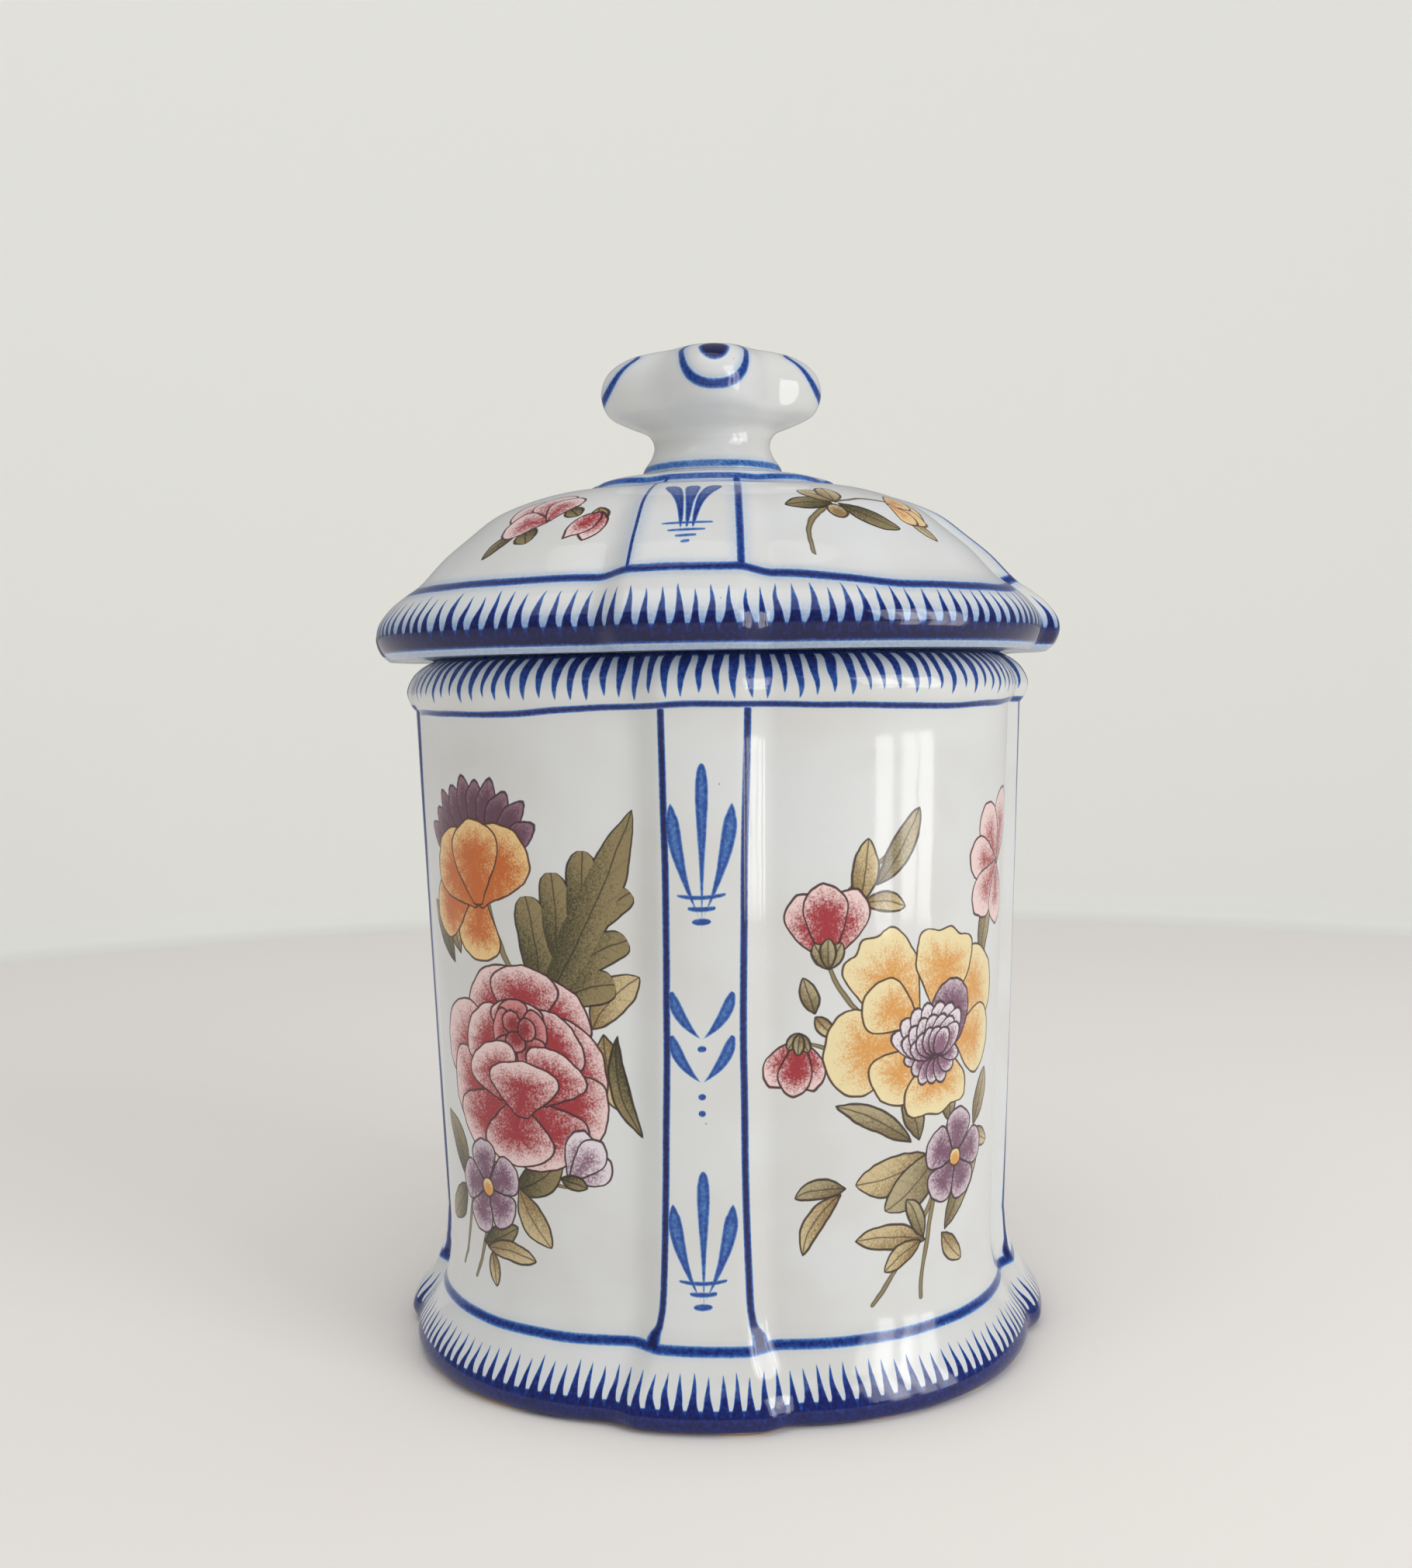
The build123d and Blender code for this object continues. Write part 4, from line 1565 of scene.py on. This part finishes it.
@dataclass
class Box(Casting):
    """The box: foot, cove, wall with pilasters and panels, rim bead, and the hollow inside.

    Shares are of the height and spread of their stretch, and rounds are steps outwards and upwards.
    Cobalt lines have a half width, and those beside the pilasters widen and thicken below the wall.
    Lilies have a foot and a top height, leaf pairs a tip height, and dots a height and a half length.
    """

    plan: LobedPlan = LobedPlan(turn=-1.3, twist=1.4)
    foot_height: float = 13.4
    cove_height: float = 10.0
    bead_height: float = 10.3
    wall_nose_low: float = 58.8
    wall_nose_high: float = 62.7
    cove_flare: float = 1.6
    foot_spread: float = 5.8
    bead_swell: float = 1.7
    wall_half: float = 7.3
    foot_half: float = 12.3
    bead_half: float = 7.8
    foot_relief: float = 0.7
    wall_thickness: float = 4.5
    rim_thickness: float = 8.0
    floor_top: float = 8.0
    floor_round: float = 6.0
    foot_recess: float = 3.0
    foot_ring: float = 8.0
    throat_start: float = 122.5
    bead_ramp: float = 0.4
    foot_shares: Points = ((0, 0.64), (0.08, 0.9), (0.22, 1), (0.4, 0.86), (0.7, 0.38), (1, 0))
    cove_shares: Points = ((0.42, 0.34), (1, 0))
    bead_shares: Points = ((0, 0), (0.15, 0.62), (0.4, 1), (0.7, 0.2), (0.88, -1), (1, -2.4))
    recess_round: Points = ((-1.4, 0), (-0.4, -0.4), (0, -1.2))
    ring_round: Points = ((0, 0.7), (0.3, 0.15), (0.9, 0))
    lip_round: Points = ((1.6, 0), (0.5, -0.3), (0, -1.4))
    draw_radius: float = 61.0
    split: float = 9.4
    line_sway: float = 1.6
    line_sway_size: float = 24.0
    foot_line: float = 0.72
    rim_line: float = 0.46
    rim_line_up: float = 0.3
    rim_line_rise: float = 0.33
    side_line: float = 0.62
    side_line_out: float = 0.4
    side_line_right: float = 0.55
    low_side_line: float = 1.3
    low_side_half: float = 9.3
    mid_side_half: float = 7.95
    mid_side_height: float = 17.6
    side_line_top: float = 18.0
    bare_patch: float = 16.0
    bare_sway: float = 2.6
    bare_edge: Place = (0.1, 0.5)
    lilies: Points = ((94.6, 118.0), (25.2, 45.6))
    leaf_pairs: Place = (77.8, 70.0)
    leaf_rise: float = 8.2
    leaf_spread: Place = (0.4, 5.5)
    dots: Points = ((67.6, 0.8), (59.0, 0.7), (56.0, 0.65))
    rim_teeth: Teeth = Teeth(count=134, base=137.2, tip=129.0, haze=0.08, deep=0.8, shape=WEDGE)
    foot_teeth: Teeth = Teeth(count=160, base=4.5, tip=10.3, band=0.86)

    @property
    def cove_nose(self) -> float:
        """Nose radius at the line over the foot."""
        return self.wall_nose_low + self.cove_flare

    @property
    def cove_top(self) -> float:
        """Height where the straight wall begins."""
        return self.foot_height + self.cove_height

    @property
    def bead_start(self) -> float:
        """Height of the line under the rim bead."""
        return self.rim_height - self.bead_height

    def _foot_level(self, nose: float, height: float) -> Level:
        """Level of the foot or cove, whose pilasters widen with the nose.

        Args:
            nose: Nose radius.
            height: Height.

        Returns:
            The level.
        """
        spread = (nose - self.wall_nose_low) / (self.cove_flare + self.foot_spread)
        half = between(self.wall_half, self.foot_half, spread)
        return nose, height, half, between(1.0, self.foot_relief, spread)

    def _bead_level(self, nose: float, height: float) -> Level:
        """Level of the rim bead, whose pilasters widen soon above the line."""
        share = min(1.0, (height - self.bead_start) / (self.bead_ramp * self.bead_height))
        return nose, height, between(self.wall_half, self.bead_half, share), 1.0

    def skin(self) -> Skin:
        """Makes the rings from the middle of the underside, over the rim, to the middle of the floor.

        Returns:
            The rings.
        """
        skin = Skin("painted_box")
        recess = self.cove_nose + self.foot_spread - self.foot_ring
        under = [(recess * share, self.foot_recess) for share in (0.3, 0.8)]
        under += steps_from(recess, self.foot_recess, self.recess_round)
        ring = steps_from(recess, 0.0, self.ring_round)
        self.lay_rings(skin, "under", self.hollow_levels(under + ring[:-1]))
        foot = [(self.cove_nose + s * self.foot_spread, r * self.foot_height) for r, s in self.foot_shares]
        foot += [(self.wall_nose_low + f * self.cove_flare, self.foot_height + r * self.cove_height)
                 for r, f in self.cove_shares]
        outer = self._foot_level(foot[0][0] - self.ring_round[-1][0], 0.0)
        self.lay_rings(skin, "ring", [self.hollow_level(*ring[-1]), outer])
        self.lay_rings(skin, "foot", smooth_through([self._foot_level(n, h) for n, h in foot], 8))
        wall = []
        for share in np.linspace(0.0, 1.0, 14)[1:-1]:
            nose = between(self.wall_nose_low, self.wall_nose_high, share)
            wall.append((nose, between(self.cove_top, self.bead_start, share), self.wall_half, 1.0))
        self.lay_rings(skin, "wall", wall)
        bead = [(self.wall_nose_high + s * self.bead_swell, self.bead_start + r * self.bead_height)
                for r, s in self.bead_shares]
        self.lay_rings(skin, "bead", [self._bead_level(n, h) for n, h in smooth_through(bead, 6)])
        self.lay_rings(skin, "inside", self.hollow_levels(self._inside()))
        return skin

    def _inside(self) -> list[Place]:
        """Nose radius and height of the hollow, from the lip down to the floor.

        Returns:
            The places in order.
        """
        mouth = self.wall_nose_high - self.rim_thickness
        low, high = self.wall_nose_low - self.wall_thickness, self.wall_nose_high - self.wall_thickness
        corner = self.floor_top + self.floor_round
        places = steps_from(mouth, self.rim_height, self.lip_round)
        places += [(mouth, self.flange_bottom), (high, self.throat_start)]
        places += [(between(high, low, s), between(self.throat_start, corner, s))
                   for s in np.linspace(0.1, 1.0, 10)]
        for bow in np.linspace(0.0, QUARTER, 7)[1:]:
            inwards, down = self.floor_round * (1 - math.cos(bow)), self.floor_round * math.sin(bow)
            places.append((low - inwards, corner - down))
        return places + [(low * share, self.floor_top) for share in (0.6, 0.2)]

    def paint_borders(self, surface: Surface) -> Tone:
        """Paints the lines and toothed borders of foot and rim, and the lines beside the pilasters.

        Args:
            surface: The material under work.

        Returns:
            The distance to the right of the nearest pilaster's middle.
        """
        z = surface.z
        wave = surface.sway(self.line_sway_size, self.line_sway)
        surface.line(z + wave * 0.6 - self.foot_height, self.foot_line, strength=0.74)
        rise = (surface.theta * 4.0).maths("COSINE")
        rise = rise.maths("MULTIPLY_ADD", self.rim_line_rise, self.bead_start + self.rim_line_up)
        surface.line(z + wave * 1.3 - rise, self.rim_line, strength=0.82, bleed=0.06)
        across = surface.across()
        self._side_lines(surface, across, wave)
        self.rim_teeth.paint(surface)
        self.foot_teeth.paint(surface)
        bare = (z - surface.sway(self.bare_patch, self.bare_sway)).fade(*self.bare_edge)
        surface.lay(surface.glaze.clay, bare)
        surface.wipe(bare)
        return across

    def _side_lines(self, surface: Surface, across: Tone, wave: Tone) -> None:
        """Paints the lines on either side of the pilasters.

        Args:
            surface: The material under work.
            across: Distance to the right of the nearest pilaster's middle.
            wave: Sway of the hand.
        """
        z, unit = surface.z, 10.0
        widths = ((0.0, self.low_side_half), (self.foot_height, self.low_side_half),
                  (self.mid_side_height, self.mid_side_half), (self.cove_top, self.wall_half),
                  (self.rim_height, self.wall_half))
        shares = [(height / self.rim_height, half / unit) for height, half in widths]
        edge = (z * (1 / self.rim_height)).curve(shares) * unit
        thick = z.ramp(self.foot_height, self.side_line_top, self.low_side_line, self.side_line)
        away = (across - self.side_line_right).size() - edge - self.side_line_out + wave * 0.25
        blue = away.size().over(thick).fade(0.3, 1.4, 0.9)
        above = z.ramp(self.foot_height - 0.4, self.foot_height + 0.1)
        surface.brush(blue * above * z.fade(self.bead_start, self.bead_start + 0.6))

    def build(self) -> bpy.types.Object:
        """Makes the dressed box.

        Returns:
            The box's object.
        """
        plain = {"under": 0, "inside": 0, "ring": 4}

        def pick(part: str, angle: float) -> int:
            """Material of a face: plain glaze, pilaster, one of two panels, or bare clay."""
            return plain[part] if part in plain else self.quarter_material(angle, self.split)

        obj = self.skin().build(pick, ("foot", "wall", "bead"))
        for material in (Surface("box_inside_glaze", self.glaze).finish(), self._pilaster_finish(),
                         self._panel_finish("panel_rose", RoseSpray),
                         self._panel_finish("panel_peony", PeonySpray),
                         Surface("bare_clay", self.glaze.bare()).finish()):
            obj.data.materials.append(material)
        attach(obj, "jar")
        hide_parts("box")
        return obj

    def _pilaster_finish(self) -> bpy.types.Material:
        """Glaze of the pilasters, with lilies and leaf pairs in cobalt.

        Returns:
            The material.
        """
        surface = self.surface("pilaster_glaze")
        across = self.paint_borders(surface)
        plane = surface.plane(across, surface.z)
        for foot, top in self.lilies:
            self._lily(surface, plane, foot, top)
        inner, outer = self.leaf_spread
        for top in self.leaf_pairs:
            for side in (-1, 1):
                foot, tip = (side * inner, top - self.leaf_rise), (side * outer, top)
                surface.blue_stroke(plane, foot, tip, 1.05, Stroke.BLADE, bend=side * 0.8)
        for height, half in self.dots:
            surface.blue_stroke(plane, (-half, height), (half, height + 0.1), 0.55, Stroke.DOT)
        return surface.finish()

    @staticmethod
    def _lily(surface: Surface, plane: bpy.types.NodeSocket, foot: float, top: float) -> None:
        """Paints a lily: a lance between two bowed strokes, over bars and an oval.

        Args:
            surface: The material under work.
            plane: Drawing coordinates.
            foot, top: Heights of the strokes' foot and of the lance's tip.
        """
        surface.blue_stroke(plane, (0.1, foot - 1.2), (0.1, top), 1.1, Stroke.DROP)
        tip = between(foot, top, 0.7)
        for side in (-1, 1):
            surface.blue_stroke(plane, (side * 1.3, foot - 1.4), (side * 5.4, tip), 1.25, Stroke.LANCE,
                                bend=side * 0.75)
        surface.blue_stroke(plane, (-4.3, foot + 0.3), (4.3, foot + 0.5), 0.36, Stroke.BAR, bend=0.5)
        surface.blue_stroke(plane, (-2.4, foot - 2.0), (2.5, foot - 1.9), 0.42, Stroke.BAR, bend=0.2)
        surface.blue_stroke(plane, (-1.7, foot - 4.4), (1.7, foot - 4.3), 0.6, Stroke.DOT)

    def _panel_finish(self, name: str, spray: type[Sketch]) -> bpy.types.Material:
        """Glaze of a panel with a flower spray.

        Args:
            name: Name of the material.
            spray: The painting.

        Returns:
            The material.
        """
        surface = self.surface(name)
        across = surface.local(surface.theta + QUARTER / 2) * self.draw_radius
        spray(surface, across, surface.z).paint()
        self.paint_borders(surface)
        return surface.finish()


@dataclass
class Lid(Casting):
    """The lid: flange, underside, thick rounded edge, ribbed dome and round crown.

    Shares are of the height and width of their stretch, and rounds are steps outwards and upwards.
    Cobalt lines have a half width, and heights on the panels are drawn inwards from a radius.
    Clubs have a lean and a height at each end, and bars a height and a half length.
    """

    plan: LobedPlan = LobedPlan(turn=-2.0)
    edge_height: float = 14.1
    dome_height: float = 19.9
    crown_rise: float = 3.4
    reach: float = 70.66
    dome_nose: float = 62.3
    crown_nose: float = 26.0
    seat_radius: float = 14.7
    edge_half: float = 10.8
    crown_half: float = 6.8
    edge_relief: float = 1.3
    crown_relief: float = 0.2
    flange_nose: float = 52.7
    bore_nose: float = 48.2
    hollow_start: float = 143.0
    hollow_height: float = 23.0
    edge_shares: Points = ((0, 0.68), (0.1, 0.87), (0.3, 1), (0.47, 0.95), (0.7, 0.66), (0.86, 0.33),
                           (1, 0))
    dome_shares: Points = ((0.27, 0.86), (0.47, 0.73), (0.67, 0.59), (0.8, 0.44), (0.9, 0.27), (1, 0))
    hollow_shares: Points = ((0, 0.93), (0.2, 0.93), (0.4, 0.87), (0.6, 0.78), (0.78, 0.68), (0.92, 0.53),
                             (1, 0.38))
    underside: Place = (4.0, 0.7)
    crown_round: Points = ((-0.6, 0.9), (-2.2, 1.6))
    crown_slope: Place = (0.4, 0.75)
    bore_round: Points = ((1.2, 0), (0.3, -0.3), (0, -1.2))
    flange_round: Points = ((0, 1.2), (0.35, 0.35), (1.2, 0))
    flange_root: Points = ((0, -0.8), (0.25, -0.25), (0.9, 0))
    draw_radius: float = 62.0
    split: float = 11.5
    line_sway: float = 1.1
    line_sway_size: float = 20.0
    circle_radius: float = 25.5
    circle_line: float = 0.62
    edge_line: float = 0.62
    rib_lines: Place = (0.34, 0.66)
    club_foot: Place = (1.1, 7.6)
    club_tip: Place = (4.4, 22.5)
    bars: Points = ((8.6, 4.6), (6.9, 3.4), (5.6, 1.9), (4.4, 0.8))
    white_edge: Place = (138.2, 139.3)
    white_edge_blue: float = 0.2
    teeth: Teeth = Teeth(count=150, base=141.5, tip=148.8, haze=0.27, deep=0.94)

    @property
    def line_height(self) -> float:
        """Height of the line where the dome begins."""
        return self.rim_height + self.edge_height

    @property
    def crown_height(self) -> float:
        """Height where the round crown begins."""
        return self.line_height + self.dome_height

    @property
    def seat_height(self) -> float:
        """Height of the seat that the knob stands on."""
        return self.crown_height + self.crown_rise

    def _out_level(self, nose: float, height: float) -> Level:
        """Level of the outside, whose ribs narrow and fade towards the crown.

        Args:
            nose: Nose radius.
            height: Height.

        Returns:
            The level.
        """
        way = max(0.0, (nose - self.crown_nose) / (self.reach - self.crown_nose))
        relief = between(self.crown_relief, self.edge_relief, 1 - (1 - way) ** 2)
        if nose < self.crown_nose:
            left = (nose - self.seat_radius) / (self.crown_nose - self.seat_radius)
            relief = self.crown_relief * max(0.0, left)
        return nose, height, between(self.crown_half, self.edge_half, way), relief

    def outline(self) -> np.ndarray:
        """Nose radius and height of the outside, from the underside up to the knob's seat.

        Returns:
            The places in order.
        """
        edge = [(between(self.dome_nose, self.reach, s), self.rim_height + r * self.edge_height)
                for r, s in self.edge_shares]
        dome = [(between(self.crown_nose, self.dome_nose, s), self.line_height + r * self.dome_height)
                for r, s in self.dome_shares]
        out, up = self.crown_slope
        slope = between(self.seat_radius, self.crown_nose, out)
        crown = steps_from(self.crown_nose, self.crown_height, self.crown_round)
        crown += [(slope, self.crown_height + self.crown_rise * up),
                  (self.seat_radius, self.seat_height)]
        return smooth_through(edge + dome + crown, 7)

    def _inside(self) -> list[Place]:
        """Nose radius and height of hollow and flange, from the hollow's top to the flange's root.

        Returns:
            The places in order.
        """
        hollow = [(s * self.dome_nose, self.hollow_start + r * self.hollow_height)
                  for r, s in self.hollow_shares]
        places = [(hollow[-1][0] * 0.4, hollow[-1][1])]
        places += [tuple(place) for place in smooth_through(hollow, 4)[::-1]]
        places += steps_from(self.bore_nose, self.hollow_start, self.bore_round)
        places += steps_from(self.bore_nose, self.flange_bottom, self.flange_round)
        outer_round = [(-out, up) for out, up in self.flange_round[::-1]]
        places += steps_from(self.flange_nose, self.flange_bottom, outer_round)
        return places + steps_from(self.flange_nose, self.rim_height, self.flange_root)

    def skin(self) -> Skin:
        """Makes the rings from the middle of the hollow, round the flange and edge, to the knob's seat.

        Returns:
            The rings.
        """
        skin = Skin("painted_lid")
        inside, line = self.hollow_levels(self._inside()), self.outline()
        self.lay_rings(skin, "inside", inside[:-1])
        start = line[0][0]
        under = [self._out_level(start - inwards, self.rim_height) for inwards in self.underside]
        self.lay_rings(skin, "underside", [inside[-1], *under])
        self.lay_rings(skin, "outside", [self._out_level(n, h) for n, h in line])
        nose, height = line[-1]
        self.lay_rings(skin, "seat", [(nose * share, height, 1.0, 0.0) for share in (0.95, 0.5)])
        return skin

    def build(self) -> bpy.types.Object:
        """Makes the dressed lid.

        Returns:
            The lid's object.
        """
        turn = math.radians(self.plan.turn)

        def pick(part: str, angle: float) -> int:
            """Material of a face: plain glaze, rib, or one of two panels."""
            return 0 if part in ("inside", "seat") else self.quarter_material(angle - turn, self.split)

        obj = self.skin().build(pick, ("outside",))
        for material in (Surface("lid_inside_glaze", self.glaze).finish(), self._rib_finish(),
                         self._panel_finish("lid_panel_pink", PinkSprig),
                         self._panel_finish("lid_panel_olive", OliveSprig)):
            obj.data.materials.append(material)
        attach(obj, "cover")
        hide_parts("lid")
        return obj

    def paint_borders(self, surface: Surface, sag: float = 0.0) -> Tone:
        """Paints the edge's toothed border, the line, the lines beside the ribs and the crown's circle.

        Args:
            surface: The material under work.
            sag: How far the line drops in a panel's middle.

        Returns:
            The distance to the right of the nearest rib's middle.
        """
        z, radius = surface.z, surface.radius
        wave = surface.sway(self.line_sway_size, self.line_sway)
        surface.line(radius - self.circle_radius + wave * 0.3, self.circle_line, strength=0.54, bleed=0.14)
        across = surface.across()
        way = radius.ramp(self.crown_nose, self.reach, smooth=False)
        edge = way * (self.edge_half - self.crown_half) + self.crown_half
        outer = across.size() - edge
        drop = outer.ramp(-1.0, 6.0, -0.3, 0.9)
        if sag:
            drop = drop + outer.ramp(4.0, 30.0, 0.0, sag)
        surface.line(z + wave + drop - self.line_height, self.edge_line, strength=0.82, bleed=0.16)
        within = z.ramp(self.line_height - 0.6, self.line_height + 0.2)
        within = within * radius.ramp(self.circle_radius - 0.5, self.circle_radius + 0.3)
        thick = across.ramp(-1.0, 1.0, *self.rib_lines)
        surface.brush((outer + wave * 0.3).size().over(thick).fade(0.3, 1.5, 0.74) * within)
        surface.brush(outer.size().fade(0.4, 4.5, 0.14) * within)
        self.teeth.paint(surface)
        under = z.fade(*self.white_edge)
        surface.wipe(under)
        surface.brush(under * self.white_edge_blue)
        return across

    def _rib_finish(self) -> bpy.types.Material:
        """Glaze of the ribs, with three club strokes over bars.

        Returns:
            The material.
        """
        surface = self.surface("lid_rib_glaze")
        across = self.paint_borders(surface)
        plane = surface.plane(across, self.draw_radius - surface.radius)
        for lean in (-1, 0, 1):
            foot, tip = ((lean * out, up) for out, up in (self.club_foot, self.club_tip))
            surface.blue_stroke(plane, foot, tip, 1.35, Stroke.CLUB, bend=lean * -0.7, strength=0.72)
        for height, half in self.bars:
            foot, tip = (-half, height), (half, height + 0.2)
            surface.blue_stroke(plane, foot, tip, 0.3, Stroke.BAR, strength=0.52)
        return surface.finish()

    def _panel_finish(self, name: str, sprig: type[Sketch]) -> bpy.types.Material:
        """Glaze of a lid panel with a small sprig.

        Args:
            name: Name of the material.
            sprig: The painting.

        Returns:
            The material.
        """
        surface = self.surface(name)
        across = surface.local(surface.theta + QUARTER / 2) * surface.radius
        sprig(surface, across, self.draw_radius - surface.radius).paint()
        self.paint_borders(surface, sprig.line_sag)
        return surface.finish()


@dataclass
class Knob:
    """The knob: a waisted neck under a head of four soft lobes.

    It starts at the lid's seat and has the seat's radius there.
    Shares of the neck are height and spread; those of the head have the depth of the lobes as well.
    """

    start: float
    seat_radius: float
    glaze: Glaze = Glaze()
    height: float = 25.1
    waist_radius: float = 12.0
    head_radius: float = 19.8
    lobe_wave: float = 3.0
    turn: float = 5.1
    neck_shares: Points = ((0, 1), (0.06, 0.8), (0.15, 0.25), (0.25, 0))
    head_shares: Points = ((0.35, 0.12, 0.1), (0.42, 0.5, 0.5), (0.5, 0.85, 0.85), (0.65, 1, 1),
                           (0.78, 0.95, 0.97), (0.87, 0.78, 0.88), (0.95, 0.45, 0.7), (0.985, 0.1, 0.45),
                           (1, -0.4, 0.2))
    band_line: float = 0.72
    band_up: float = 1.1
    mark_height: float = 0.79
    fold_radius: float = 20.0
    fold: Place = (197.0, 199.5)
    oval_up: float = 2.6
    oval_wide: float = 6.4
    oval_tall: float = 7.2
    oval_power: float = 2.3
    dot_up: float = 3.5
    dot_wide: float = 2.7
    dot_tall: float = 3.0

    def skin(self) -> Skin:
        """Makes the rings from the seat to the middle of the top.

        Returns:
            The rings.
        """
        skin = Skin("painted_knob", columns=256)
        top = self.start + self.height
        waist = self.waist_radius
        rows = [(between(waist, self.seat_radius, f), self.start + r * self.height, 0.0)
                for r, f in self.neck_shares]
        rows += [(between(waist, self.head_radius, f), self.start + r * self.height, w * self.lobe_wave)
                 for r, f, w in self.head_shares]
        line = smooth_through(rows, 6)[1:]
        wave = np.cos(4 * (skin.angles - math.radians(self.turn)))
        foot = np.array([[self.seat_radius * share] * skin.columns for share in (0.5, 0.97)])
        skin.add("seat", foot, np.full(2, self.start))
        radii = line[:, 0:1] + line[:, 2:3] * wave[None, :]
        skin.add("outside", radii, np.minimum(line[:, 1], top))
        skin.add("outside", np.array([radii[-1] * share for share in (0.6, 0.2)]), np.full(2, top))
        return skin

    def build(self) -> bpy.types.Object:
        """Makes the dressed knob.

        Returns:
            The knob's object.
        """
        obj = self.skin().build(lambda part, angle: 0, ("outside",))
        obj.data.materials.append(self._finish())
        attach(obj, "cover")
        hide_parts("knob")
        return obj

    def _finish(self) -> bpy.types.Material:
        """Glaze of the knob, with an oval and a dot on each lobe and a band at the neck.

        Returns:
            The material.
        """
        surface = Surface("knob_glaze", self.glaze, self.turn)
        z, radius = surface.z, surface.radius
        surface.line(z - (self.start + self.band_up), self.band_line, strength=0.46, bleed=0.14)
        across = surface.across()
        along = z - (self.start + self.mark_height * self.height)
        along = along + (self.fold_radius - radius).most(0.0) * z.ramp(*self.fold)
        plane = surface.plane(across, along)
        wide, tall = surface.upright(plane, self.oval_up, self.oval_wide, self.oval_tall)
        sides = [side.size().maths("POWER", self.oval_power) for side in (wide, tall)]
        ring = (sides[0] + sides[1]).maths("POWER", 1 / self.oval_power) - 1.0
        thick = tall.ramp(-0.9, 0.1, 1.0, 0.62)
        surface.brush(ring.size().over(thick).fade(0.04, 0.19, 0.68) * tall.ramp(0.3, 1.1, 1.0, 0.25))
        surface.brush(ring.ramp(-0.5, 0.0, 0.0, 0.2) * ring.fade(0.0, 0.35))
        wide, tall = surface.upright(plane, self.dot_up, self.dot_wide, self.dot_tall)
        surface.brush(wide.reach(tall).fade(0.75, 1.3))
        return surface.finish()


def main() -> None:
    """Builds the box, its lid and knob, and the studio, and reports each piece."""
    logging.basicConfig(level=logging.INFO, format="%(name)s: %(message)s")
    bpy.context.scene.view_settings.view_transform = "Standard"
    lid = Lid()
    for maker in (Box(), lid, Knob(lid.seat_height, lid.seat_radius)):
        piece = maker.build()
        LOG.info("%s: %d faces", piece.name, len(piece.data.polygons))
    Studio().build()
    Light().build()


if __name__ == "__main__":
    main()
